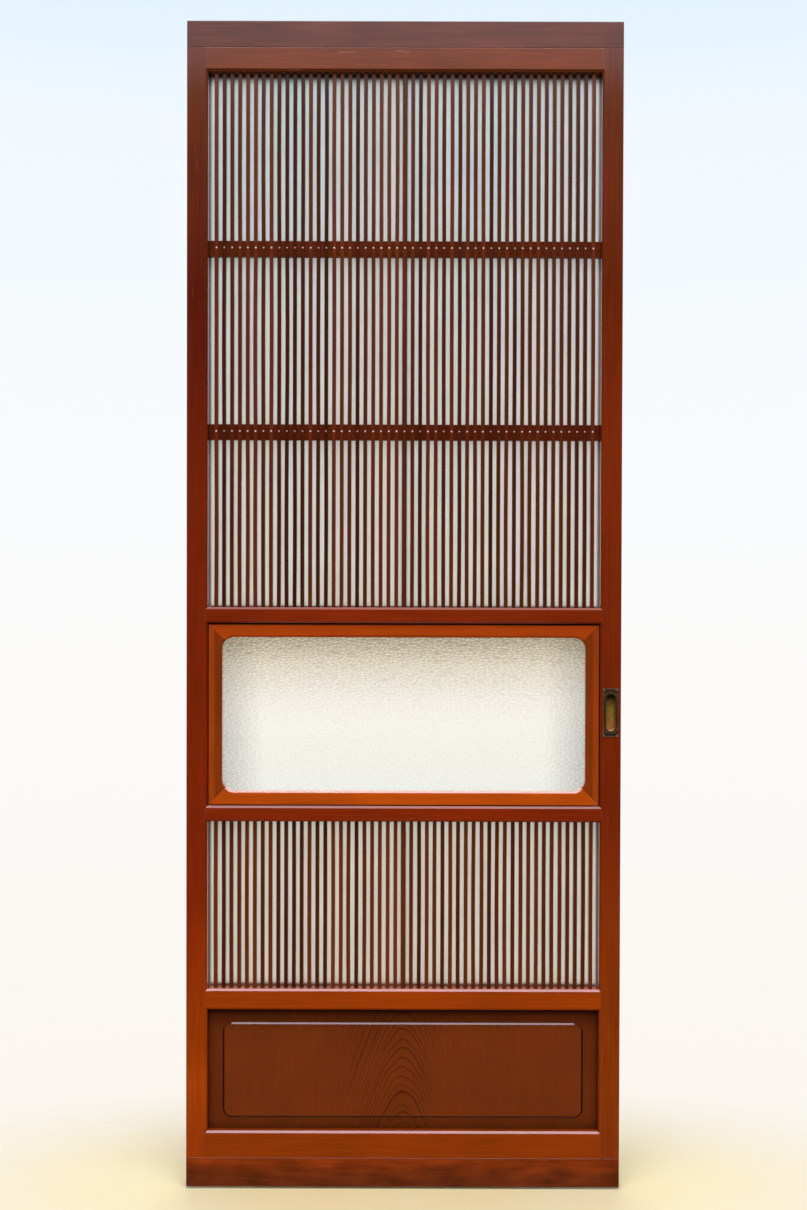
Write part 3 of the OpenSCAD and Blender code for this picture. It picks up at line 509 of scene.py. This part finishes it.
# The pebbled face as a grid, and behind its rim a flat back
low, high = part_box("figured_glass")
columns, rows = (round((high - low)[k] / GLASS_STEP[k]) + 1 for k in (0, 2))
across, up = np.meshgrid(np.linspace(0, high.x - low.x, columns), np.linspace(0, high.z - low.z, rows))
sunk = pebble_depth(across, up)
points = np.stack([low.x + across, low.y + sunk, low.z + up], -1).reshape(-1, 3)
index, squares = grid(rows, columns)
faces = squares.reshape(-1, 4).tolist()
rim = np.concatenate([index[0, :-1], index[:-1, -1], index[-1, :0:-1], index[:0:-1, 0]])
behind = points[rim].copy()
behind[:, 1] = high.y
back = len(points) + np.arange(len(rim))
faces += [(rim[i], back[i], back[(i + 1) % len(rim)], rim[(i + 1) % len(rim)]) for i in range(len(rim))]
faces.append(tuple(back[::-1]))
faces = [tuple(int(k) for k in face) for face in faces]

# Clear glass, with painted shade in the creases towards the top and the sides
material, tree = new_material("pebbled_glass")
place = add(tree, "TexCoord").outputs["Object"]
ripple = add(tree, "TexNoise", {"Vector": place, "Scale": 1 / RIPPLE, "Detail": 2.0}).outputs[0]
tone = add(tree, "ValToRGB", {0: ripple}, [(0.3, linear("#f1eee4")), (0.7, linear("#fbfaf4"))]).outputs[0]
axes = add(tree, "SeparateXYZ", {0: place})
# Painted shade in the creases, growing towards the sides and the top
aside = add(tree, "Math", {0: axes.outputs["X"]}, operation="ABSOLUTE").outputs[0]
by_side = add(tree, "MapRange", {"Value": aside, "From Min": high.x - SIDE_BAND[0],
                                 "From Max": high.x - SIDE_BAND[1], "To Min": 0.1, "To Max": 0.4})
by_top = add(tree, "MapRange", {"Value": axes.outputs["Z"], "From Min": high.z - TOP_BAND[0],
                                "From Max": high.z - TOP_BAND[1], "To Min": 0.1, "To Max": 0.8})
dark = add(tree, "Math", {0: by_side.outputs[0], 1: by_top.outputs[0]}, operation="MAXIMUM").outputs[0]
crease = add(tree, "Attribute", attribute_name="crease").outputs["Fac"]
dark = add(tree, "Math", {0: dark, 1: crease}, operation="MULTIPLY").outputs[0]
tone = add(tree, "Mix", {0: dark, 6: tone, 7: linear("#7d7058")}, data_type="RGBA").outputs[2]
bump = add(tree, "Bump", {"Height": ripple, "Distance": 0.25 * MM, "Strength": 0.6}).outputs[0]
surface(tree, {"Base Color": tone, "Roughness": 0.06, "Normal": bump, "IOR": 1.5,
               "Transmission Weight": 1.0})
glass = mesh_piece("pebbled_pane", np.concatenate([points, behind]), faces, material,
                   smooth=(rows - 1) * (columns - 1))
creases = glass.data.attributes.new("crease", "FLOAT", "POINT")
creases.data.foreach_set("value", np.concatenate([(sunk / CREASE).ravel(), np.zeros(len(rim))]))
glass.visible_shadow = False
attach(glass, "leaf")
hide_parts("figured_glass")


# Sash battens
# Four plain cedar battens fixed to the frame behind the sash, which hold it and its glass in
# place. They have the finish of the beads.

dress(level_bead, "sash_batten_top", "sash_batten_bottom")
dress(upright_bead, "sash_batten_left", "sash_batten_right")


# Kick panel
# A thin board faced with plain-sawn veneer and moulded with a raised field. The veneer shows tall
# arches in the middle and straight fine lines at the sides, under the same stain and lacquer. Painted
# shade darkens the low board round the field and its corners, with a painted shadow of the rail
# above, and the slopes of the field are painted dark but for the upper one.

RING = 4.8 * MM
HEART = 34 * MM
TAPER = 0.33
FIGURE_MIDDLE = -18 * MM
FIGURE_HALF = 95 * MM
WOBBLE = 7 * MM
PANEL_PATCH = 90 * MM
PANEL_CORNER = 16 * MM
WIDE_SHADE = (34 * MM, 0.0)
CLOSE_SHADE = (13 * MM, 6 * MM)
FIELD_DEPTH, BOARD_DEPTH = 0.5 * MM, 1.5 * MM
material, tree = new_material("arched_veneer")
place = add(tree, "TexCoord").outputs["Object"]
axes = add(tree, "SeparateXYZ", {0: place})

# Growth rings: arches that narrow upwards, strong in the middle and faint at the sides
wobble = grain_noise(tree, place, "z", 40, 60, 21.0, 2)
x = axes.outputs["X"]
squared = add(tree, "Math", {0: x, 1: x, 2: HEART ** 2}, operation="MULTIPLY_ADD").outputs[0]
reach = add(tree, "Math", {0: squared}, operation="SQRT").outputs[0]
reach = add(tree, "Math", {0: axes.outputs["Z"], 1: TAPER, 2: reach}, operation="MULTIPLY_ADD").outputs[0]
reach = add(tree, "Math", {0: wobble, 1: WOBBLE, 2: reach}, operation="MULTIPLY_ADD").outputs[0]
years = add(tree, "Math", {0: reach, 1: RING}, operation="DIVIDE").outputs[0]
uneven = add(tree, "TexNoise", {"W": years, "Scale": 0.45, "Detail": 2.0}, noise_dimensions="1D").outputs[0]
years = add(tree, "Math", {0: uneven, 1: 1.6, 2: years}, operation="MULTIPLY_ADD").outputs[0]
turn = add(tree, "Math", {0: years}, operation="FRACT").outputs[0]
stops = [(at, (dark, dark, dark, 1)) for at, dark in ((0.0, 0.0), (0.62, 0.1), (0.88, 1.0), (1.0, 0.0))]
line = add(tree, "ValToRGB", {0: turn}, stops).outputs[0]
aside = add(tree, "Math", {0: x, 1: FIGURE_MIDDLE}, operation="SUBTRACT").outputs[0]
aside = add(tree, "Math", {0: aside}, operation="ABSOLUTE").outputs[0]
strength = add(tree, "MapRange", {"Value": aside, "From Min": 0.5 * FIGURE_HALF, "From Max": FIGURE_HALF,
                                  "To Min": 0.75, "To Max": 0.1}).outputs[0]
line = add(tree, "Math", {0: line, 1: strength}, operation="MULTIPLY").outputs[0]
depth = add(tree, "MapRange", {"Value": uneven, "From Min": 0.3, "From Max": 0.6, "To Min": 1.25,
                               "To Max": 0.6}).outputs[0]
line = add(tree, "Math", {0: line, 1: depth}, operation="MULTIPLY").outputs[0]

# Stain, with fine fibres and broad patches
fibre = grain_noise(tree, place, "z", 1.5, 60, 23.0, 4)
patch = add(tree, "TexNoise", {"Vector": place, "Scale": 1 / PANEL_PATCH, "Detail": 2.0}).outputs[0]
tone = add(tree, "Math", {0: fibre, 1: 0.5, 2: 0.5}, operation="MULTIPLY_ADD").outputs[0]
tone = add(tree, "Math", {0: patch, 1: 0.5, 2: tone}, operation="MULTIPLY_ADD").outputs[0]
stain = add(tree, "VectorMath", {0: linear("#783510")[:3], "Scale": tone}, operation="SCALE").outputs[0]
colour = add(tree, "Mix", {0: line, 6: stain, 7: linear("#35160a")}, data_type="RGBA").outputs[2]

# Painted shade: the low board round the field, the rail's shadow, the corners and the slopes
panel_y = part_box("kick_panel")[0].y
sunk = add(tree, "MapRange", {"Value": axes.outputs["Y"], "From Min": panel_y + FIELD_DEPTH,
                              "From Max": panel_y + BOARD_DEPTH, "To Min": 1.0, "To Max": 0.8}).outputs[0]
rail_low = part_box("panel_rail")[0].z
for (start, stop), share in ((WIDE_SHADE, 0.5), (CLOSE_SHADE, 0.45)):
    shade = add(tree, "MapRange", {"Value": axes.outputs["Z"], "From Min": rail_low - start,
                                   "From Max": rail_low - stop, "To Min": 1.0, "To Max": share}).outputs[0]
    sunk = add(tree, "Math", {0: sunk, 1: shade}, operation="MULTIPLY").outputs[0]
nook = add(tree, "AmbientOcclusion", {"Distance": PANEL_CORNER}, samples=4).outputs["AO"]
shade_in_corners = add(tree, "MapRange", {"Value": nook, "From Min": 0.4, "From Max": 0.9, "To Min": 0.35}).outputs[0]
sunk = add(tree, "Math", {0: sunk, 1: shade_in_corners}, operation="MULTIPLY").outputs[0]
colour = add(tree, "VectorMath", {0: colour, "Scale": sunk}, operation="SCALE").outputs[0]
# Slopes painted dark as shade, but for the upper one, which faces the light
lean = add(tree, "SeparateXYZ", {0: add(tree, "NewGeometry").outputs["Normal"]})
level = add(tree, "Math", {0: lean.outputs["Y"]}, operation="ABSOLUTE").outputs[0]
slope = add(tree, "MapRange", {"Value": level, "From Min": 0.96, "From Max": 0.85}).outputs[0]
lit = add(tree, "MapRange", {"Value": lean.outputs["Z"], "From Min": 0.1, "From Max": 0.3, "To Min": 1.0,
                             "To Max": 0.1}).outputs[0]
slope = add(tree, "Math", {0: slope, 1: lit}, operation="MULTIPLY").outputs[0]
colour = add(tree, "Mix", {0: slope, 6: colour, 7: linear("#120502")}, data_type="RGBA").outputs[2]

# Fibres felt under the lacquer
rough = add(tree, "Math", {0: fibre, 1: 0.2, 2: 0.24}, operation="MULTIPLY_ADD").outputs[0]
soft = add(tree, "Bevel", {"Radius": 0.6 * MM}, samples=4).outputs[0]
bump = add(tree, "Bump", {"Height": fibre, "Distance": 0.1 * MM, "Strength": 0.4, "Normal": soft})
surface(tree, {"Base Color": colour, "Roughness": rough, "Normal": bump.outputs[0], "IOR": 1.5,
               "Specular IOR Level": 0.05, "Coat Weight": 1.0, "Coat Roughness": 0.1, "Coat Normal": soft})
dress(material, "kick_panel")


# Flush pull
# On each face of the right stile a pressed brass plate, darkened by age, with a rolled border,
# an arch round each end of the cup and a small leaf in each corner. Fingers have rubbed the cup
# bright; a painted shadow darkens its top, a painted highlight pales its up-facing foot, and its
# lip is dark.

PLATE_STEP = 0.4 * MM
CUP_W = 14.5 * MM
CUP_H = 58.5 * MM
CUP_HIDES = 1.2 * MM
LIP_DEPTH = 1.5 * MM
RELIEF = 0.5 * MM
# Distance of each ridge from the plate's edge or the cup, its half width, and the leaf's size
BORDER_IN, BORDER_HALF = 0.8 * MM, 0.5 * MM
ARCH_OUT, ARCH_HALF = 3.6 * MM, 0.6 * MM
LEAF_SIZE = 5.2 * MM
LEAF_LOBES = 6
# Width of the clouds and the grit in the brass of the plate and of the cup
PLATE_CLOUD, PLATE_GRIT = 5 * MM, 0.7 * MM
CUP_CLOUD, CUP_GRIT = 7 * MM, 0.8 * MM


def ridge(distance, middle, half_width):
    """A round ridge along the line at that distance."""
    return np.exp(-((distance - middle) / half_width) ** 2)


def cup_distance(x, z):
    """How far points lie beyond the cup's straight sides, and how far outside its edge."""
    beyond = (np.abs(z) - (CUP_H - CUP_W) / 2).clip(0)
    return beyond, np.hypot(x, beyond) - CUP_W / 2


def plate_relief(x, z, half_w, half_h):
    """Height of the pressed ornament above the plate, as a share of its relief."""
    u, v = half_w - np.abs(x), half_h - np.abs(z)
    beyond, outside = cup_distance(x, z)
    border = ridge(np.minimum(u, v), BORDER_IN, BORDER_HALF)
    arch = ridge(outside, ARCH_OUT, ARCH_HALF) * (beyond > 0)
    turn, out = np.arctan2(v, u), np.hypot(u, v)
    leaf = np.exp(-(out / LEAF_SIZE) ** 2) * (0.6 + 0.4 * np.cos(LEAF_LOBES * (turn - math.pi / 4)))
    return np.maximum.reduce([border * 0.7, arch * 0.6, leaf])


def pull_plate(name, node, outward, material):
    """The pressed plate as a fine mesh on its CAD node, its relief towards the outside."""
    low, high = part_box(node)
    middle, half = (low + high) / 2, (high - low) / 2
    columns, rows = (round(2 * half[k] / PLATE_STEP) + 1 for k in (0, 2))
    x, z = np.meshgrid(np.linspace(-half.x, half.x, columns), np.linspace(-half.z, half.z, rows))
    rise = RELIEF * plate_relief(x, z, half.x, half.z)
    face_y = low.y if outward < 0 else high.y
    wall_y = high.y if outward < 0 else low.y
    front = np.stack([middle.x + x, face_y + outward * rise, middle.z + z], -1).reshape(-1, 3)
    under = front.copy()
    under[:, 1] = wall_y
    open_at = cup_distance(x, z)[1] <= CUP_HIDES
    kept = ~(open_at[:-1, :-1] | open_at[1:, :-1] | open_at[:-1, 1:] | open_at[1:, 1:])
    quads = grid(rows, columns)[1][kept]
    offset = rows * columns
    faces = quads.tolist() + (quads[:, ::-1] + offset).tolist()
    edges = {}
    for quad in quads.tolist():
        for a, b in zip(quad, quad[1:] + quad[:1]):
            edges[(a, b)] = True
    faces += [(b, a, a + offset, b + offset) for a, b in edges if (b, a) not in edges]
    if outward > 0:
        faces = [face[::-1] for face in faces]
    used = sorted({k for face in faces for k in face})
    renumber = {k: i for i, k in enumerate(used)}
    points = np.concatenate([front, under])[used]
    faces = [tuple(renumber[k] for k in face) for face in faces]
    made = mesh_piece(name, points, faces, material)
    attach(made, "leaf")
    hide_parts(node)


# Plate: dark ground, rubbed pale on the relief
material, tree = new_material("aged_brass")
place = add(tree, "TexCoord").outputs["Object"]
axes = add(tree, "SeparateXYZ", {0: place})
plate_face = -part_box("front_pull_plate")[0].y
depth = add(tree, "Math", {0: axes.outputs["Y"]}, operation="ABSOLUTE").outputs[0]
raised = add(tree, "MapRange", {"Value": depth, "From Min": plate_face + 0.1 * MM,
                                "From Max": plate_face + RELIEF}).outputs[0]
cloud = add(tree, "TexNoise", {"Vector": place, "Scale": 1 / PLATE_CLOUD, "Detail": 4.0}).outputs[0]
rub = add(tree, "Math", {0: raised, 1: cloud}, operation="MULTIPLY").outputs[0]
rub = add(tree, "Math", {0: rub, 1: 1.5}, operation="MULTIPLY", use_clamp=True).outputs[0]
ground = add(tree, "ValToRGB", {0: cloud}, [(0.35, linear("#291c0b")), (0.7, linear("#4e3714"))]).outputs[0]
tone = add(tree, "Mix", {0: rub, 6: ground, 7: linear("#b8a072")}, data_type="RGBA").outputs[2]
grit = add(tree, "TexNoise", {"Vector": place, "Scale": 1 / PLATE_GRIT, "Detail": 2.0}).outputs[0]
rough = add(tree, "MapRange", {"Value": rub, "To Min": 0.5, "To Max": 0.3}).outputs[0]
bump = add(tree, "Bump", {"Height": grit, "Distance": 0.06 * MM, "Strength": 0.4}).outputs[0]
surface(tree, {"Base Color": tone, "Roughness": rough, "Normal": bump, "Metallic": 0.4})
pull_plate("front_pressed_plate", "front_pull_plate", -1, material)
pull_plate("back_pressed_plate", "back_pull_plate", 1, material)

# Cup: brightest at its foot under a painted highlight, painted shadow at its top, a dark lip
material, tree = new_material("rubbed_brass")
place = add(tree, "TexCoord").outputs["Object"]
axes = add(tree, "SeparateXYZ", {0: place})
depth = add(tree, "Math", {0: axes.outputs["Y"]}, operation="ABSOLUTE").outputs[0]
lip = add(tree, "MapRange", {"Value": depth, "From Min": plate_face - LIP_DEPTH,
                             "From Max": plate_face}).outputs[0]
cloud = add(tree, "TexNoise", {"Vector": place, "Scale": 1 / CUP_CLOUD, "Detail": 4.0}).outputs[0]
low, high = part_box("front_pull_cup")
# Painted shadow across the top of the cup
level = add(tree, "MapRange", {"Value": axes.outputs["Z"], "From Min": low.z, "From Max": high.z})
stops = [(0.15, linear("#b9793f")), (0.4, linear("#a67f2e")), (0.7, linear("#9c7828")),
         (0.88, linear("#2a1c0b"))]
tone = add(tree, "ValToRGB", {0: level.outputs[0]}, stops).outputs[0]
cloudy = add(tree, "MapRange", {"Value": cloud, "From Min": 0.3, "From Max": 0.7, "To Min": 0.7,
                                "To Max": 1.25}).outputs[0]
tone = add(tree, "VectorMath", {0: tone, "Scale": cloudy}, operation="SCALE").outputs[0]
# Painted highlight on the up-facing foot of the cup
upward = add(tree, "SeparateXYZ", {0: add(tree, "NewGeometry").outputs["Normal"]}).outputs["Z"]
pale_share = add(tree, "MapRange", {"Value": upward, "From Min": 0.35, "From Max": 0.8}).outputs[0]
tone = add(tree, "Mix", {0: pale_share, 6: tone, 7: linear("#f0cfb4")}, data_type="RGBA").outputs[2]
tone = add(tree, "Mix", {0: lip, 6: tone, 7: linear("#4c3818")}, data_type="RGBA").outputs[2]
grit = add(tree, "TexNoise", {"Vector": place, "Scale": 1 / CUP_GRIT, "Detail": 3.0}).outputs[0]
rough = add(tree, "MapRange", {"Value": grit, "To Min": 0.3, "To Max": 0.5}).outputs[0]
surface(tree, {"Base Color": tone, "Roughness": rough, "Metallic": 0.4})
dress(material, "front_pull_cup", "back_pull_cup", "pull_nails")


# Rollers
# Pressed steel cases let into the bottom strip and screwed there, each with a turned brass wheel
# on a steel axle. The cases are dull grey, the axles smoother, and the wheels a plain yellow.

dress(plain_metal("pressed_steel", "#6e6e6c", "#989894", 0.45, 0.8),
      "left_roller_case", "right_roller_case")
dress(plain_metal("axle_steel", "#8c8c8a", "#b6b6b2", 0.3, 0.6),
      "left_roller_axle", "right_roller_axle")
dress(plain_metal("turned_brass", "#8f6d33", "#b58d49", 0.35, 0.7),
      "left_roller_wheel", "right_roller_wheel")


# Floor and backdrop
# A plain pale floor round the leaf that fades into the backdrop and is clear from below. Behind the
# figured glass hangs a pale card that only glass shows, under a lid that hides it from the panes
# above. The card glows, with painted shade towards its top and sides, and the lid glows in the
# card's shaded top tone from below.

FLOOR_HALF = 3
FLOOR_FADE = (0.05, 0.5)
FLOOR_CLOUD = 1000 / 6 * MM
CARD_GAP = 180 * MM
CARD_GROW = 90 * MM
LID_RISE = 25 * MM
CARD_TOP_SHADE = "#95835d"
# The card's tones run from below the glass to above it, ending in painted shade at the top, and
# painted shade dims it from inside its sides outwards
TONES_BELOW, TONES_ABOVE = 27 * MM, 15 * MM
DIM_INSIDE, DIM_OUTSIDE = 50 * MM, 40 * MM
material, tree = new_material("pale_warm_floor")
place = add(tree, "TexCoord").outputs["Object"]
flat = add(tree, "VectorMath", {0: place, 1: (0.45, 1.0, 0.0)}, operation="MULTIPLY").outputs[0]
away = add(tree, "VectorMath", {0: flat}, operation="LENGTH").outputs["Value"]
fade = add(tree, "MapRange", {"Value": away, "From Min": FLOOR_FADE[0], "From Max": FLOOR_FADE[1]},
           interpolation_type="SMOOTHSTEP").outputs[0]
mirrored = add(tree, "LightPath").outputs["Is Glossy Ray"]
gone = add(tree, "Math", {0: fade, 1: mirrored}, operation="MAXIMUM").outputs[0]
below = add(tree, "NewGeometry").outputs["Backfacing"]
gone = add(tree, "Math", {0: gone, 1: below}, operation="MAXIMUM").outputs[0]
cloud = add(tree, "TexNoise", {"Vector": place, "Scale": 1 / FLOOR_CLOUD, "Detail": 3.0}).outputs[0]
tone = add(tree, "ValToRGB", {0: cloud}, [(0.3, linear("#feeeb0")), (0.7, linear("#fff3bb"))]).outputs[0]
matt = add(tree, "BsdfDiffuse", {"Color": tone})
clear = add(tree, "BsdfTransparent")
end(tree, add(tree, "MixShader", {0: gone, 1: matt.outputs[0], 2: clear.outputs[0]}))
corners = [(FLOOR_HALF * x, FLOOR_HALF * y, 0) for x, y in ((-1, -1), (1, -1), (1, 1), (-1, 1))]
floor = mesh_piece("floor", corners, [(0, 1, 2, 3)], material)


def seen_through_glass(tree, shown, tone, strength):
    """Ends a material that shines in one tone where it is shown and is clear elsewhere."""
    shine = add(tree, "Emission", {"Color": tone, "Strength": strength})
    clear = add(tree, "BsdfTransparent")
    end(tree, add(tree, "MixShader", {0: shown, 1: clear.outputs[0], 2: shine.outputs[0]}))


low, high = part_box("figured_glass")
card_y = cad_high.y + CARD_GAP
card_low = low.z - CARD_GROW
lid_z = high.z + LID_RISE
left, right = low.x - CARD_GROW, high.x + CARD_GROW
card_material, tree = new_material("pale_card")
through = add(tree, "LightPath").outputs["Is Transmission Ray"]
behind = add(tree, "NewGeometry").outputs["Backfacing"]
shown = add(tree, "Math", {0: through, 1: behind}, operation="SUBTRACT", use_clamp=True).outputs[0]
axes = add(tree, "SeparateXYZ", {0: add(tree, "TexCoord").outputs["Object"]})
height = add(tree, "MapRange", {"Value": axes.outputs["Z"], "From Min": low.z - TONES_BELOW,
                                "From Max": high.z + TONES_ABOVE}).outputs[0]
stops = [(0.0, linear("#edf1f0")), (0.52, linear("#f8f6f5")), (0.74, linear("#ebe4d6")),
         (1.0, linear(CARD_TOP_SHADE))]
tone = add(tree, "ValToRGB", {0: height}, stops).outputs[0]
aside = add(tree, "Math", {0: axes.outputs["X"]}, operation="ABSOLUTE").outputs[0]
shade = add(tree, "MapRange", {"Value": aside, "From Min": high.x - DIM_INSIDE,
                               "From Max": high.x + DIM_OUTSIDE, "To Min": 1.16, "To Max": 0.65}).outputs[0]
seen_through_glass(tree, shown, tone, shade)
corners = [(left, card_y, card_low), (right, card_y, card_low),
           (right, card_y, lid_z), (left, card_y, lid_z)]
card = mesh_piece("card", corners, [(0, 1, 2, 3)], card_material)

lid_material, tree = new_material("lid_of_card")
above = add(tree, "NewGeometry").outputs["Backfacing"]
tone = add(tree, "Mix", {0: above, 6: linear(CARD_TOP_SHADE), 7: linear("#fbf9f5")}, data_type="RGBA").outputs[2]
seen_through_glass(tree, add(tree, "LightPath").outputs["Is Transmission Ray"], tone, 1.0)
corners = [(left, cad_high.y, lid_z), (left, card_y, lid_z),
           (right, card_y, lid_z), (right, cad_high.y, lid_z)]
lid = mesh_piece("lid", corners, [(0, 1, 2, 3)], lid_material)


# Light
# A wide soft lamp overhead, a dim cool one high in front, a broad fill in front, one lamp behind,
# and an even pale surround. The fill and the back lamp don't show in glass, lacquer or metal. What
# is seen behind the leaf, straight on, through glass or mirrored, is a pale backdrop.

def soft_lamp(name, place, aim, size, watts, colour):
    """A rectangular soft lamp at a place, turned to a point."""
    lamp = bpy.data.lights.new(name, "AREA")
    lamp.shape = "RECTANGLE"
    lamp.size, lamp.size_y = size
    lamp.energy = watts
    lamp.color = linear(colour)[:3]
    made = bpy.data.objects.new(name, lamp)
    made.location = place
    made.rotation_euler = (Vector(aim) - Vector(place)).to_track_quat("-Z", "Y").to_euler()
    bpy.context.scene.collection.objects.link(made)
    return made


soft_lamp("overhead_lamp", (0, -1.0, 2.9), (0, -0.99, 0), (1.7, 1.2), 56, "#f6efff")
soft_lamp("high_front_lamp", (0, -3.3, 3.45), (0, 0, 1.2), (2.4, 0.9), 8.5, "#eaf4ff")
fill_lamp = soft_lamp("fill_lamp", (0, -3.2, 1.0), (0, 0, 0.9), (4.0, 2.6), 49, "#fffaf2")
back_lamp = soft_lamp("back_lamp", (0, 2.6, 2.6), (0, 0, 1.0), (2.6, 1.4), 40, "#ffffff")
for lamp in (fill_lamp, back_lamp):
    lamp.visible_transmission = False
    lamp.visible_glossy = False

# The pale backdrop where it is seen, and an even light elsewhere that is dimmer in mirrors
world = bpy.data.worlds.new("pale_surround")
bpy.context.scene.world = world
world.use_nodes = True
tree = world.node_tree
tree.nodes.clear()
light_path = add(tree, "LightPath")
ahead = add(tree, "SeparateXYZ", {0: add(tree, "TexCoord").outputs["Generated"]})
glossy = light_path.outputs["Is Glossy Ray"]
direct = light_path.outputs["Is Camera Ray"]
through = light_path.outputs["Is Transmission Ray"]
behind_leaf = add(tree, "MapRange", {"Value": ahead.outputs["Y"], "From Min": 0.0, "From Max": 0.5})
mirrored = add(tree, "Math", {0: glossy, 1: behind_leaf.outputs[0]}, operation="MULTIPLY").outputs[0]
seen = add(tree, "Math", {0: direct, 1: through}, operation="MAXIMUM").outputs[0]
seen = add(tree, "Math", {0: seen, 1: mirrored}, operation="MAXIMUM").outputs[0]
height = add(tree, "MapRange", {"Value": ahead.outputs["Z"], "From Min": -0.45, "From Max": 0.45})
stops = [(0.15, linear("#fbf7f0")), (0.5, linear("#fbfbfb")), (0.84, linear("#f2f9fe")),
         (0.93, linear("#e4f3fe"))]
backdrop = add(tree, "ValToRGB", {0: height.outputs[0]}, stops).outputs[0]
dim = add(tree, "Math", {0: glossy, 1: -0.24, 2: 0.25}, operation="MULTIPLY_ADD").outputs[0]
ambient = add(tree, "VectorMath", {0: (1.0, 0.99, 0.97), "Scale": dim}, operation="SCALE").outputs[0]
colour = add(tree, "Mix", {0: seen, 6: ambient, 7: backdrop}, data_type="RGBA").outputs[2]
ground = add(tree, "Background", {"Color": colour, "Strength": 1.0})
add(tree, "OutputWorld", {"Surface": ground.outputs[0]})


# Camera
# At the middle height of the leaf and a little over two metres in front of it, level but for a
# slight tilt. Its angle of view is written as a focal length in pixels of the frame's height.

EYE = Vector((-0.0003, -2.2117, 0.9562))
PITCH, YAW, ROLL = (math.radians(a) for a in (-0.657, 0.013, 0.155))
FOCAL_PIXELS = 1384
FRAME_HIGH = 1210
ahead = Vector((-math.sin(YAW) * math.cos(PITCH), math.cos(YAW) * math.cos(PITCH), math.sin(PITCH)))
right = Vector((math.cos(YAW), math.sin(YAW), 0))
over = right.cross(ahead)
cos_roll, sin_roll = math.cos(ROLL), math.sin(ROLL)
right, over = cos_roll * right + sin_roll * over, cos_roll * over - sin_roll * right
camera = bpy.data.objects.new("camera", bpy.data.cameras.new("camera"))
camera.data.sensor_width = 36
camera.data.lens = FOCAL_PIXELS / FRAME_HIGH * camera.data.sensor_width
turn = Matrix((right, over, -ahead)).transposed().to_4x4()
camera.matrix_world = Matrix.Translation(EYE) @ turn
bpy.context.scene.collection.objects.link(camera)
bpy.context.scene.camera = camera
bpy.context.scene.view_settings.view_transform = "Standard"
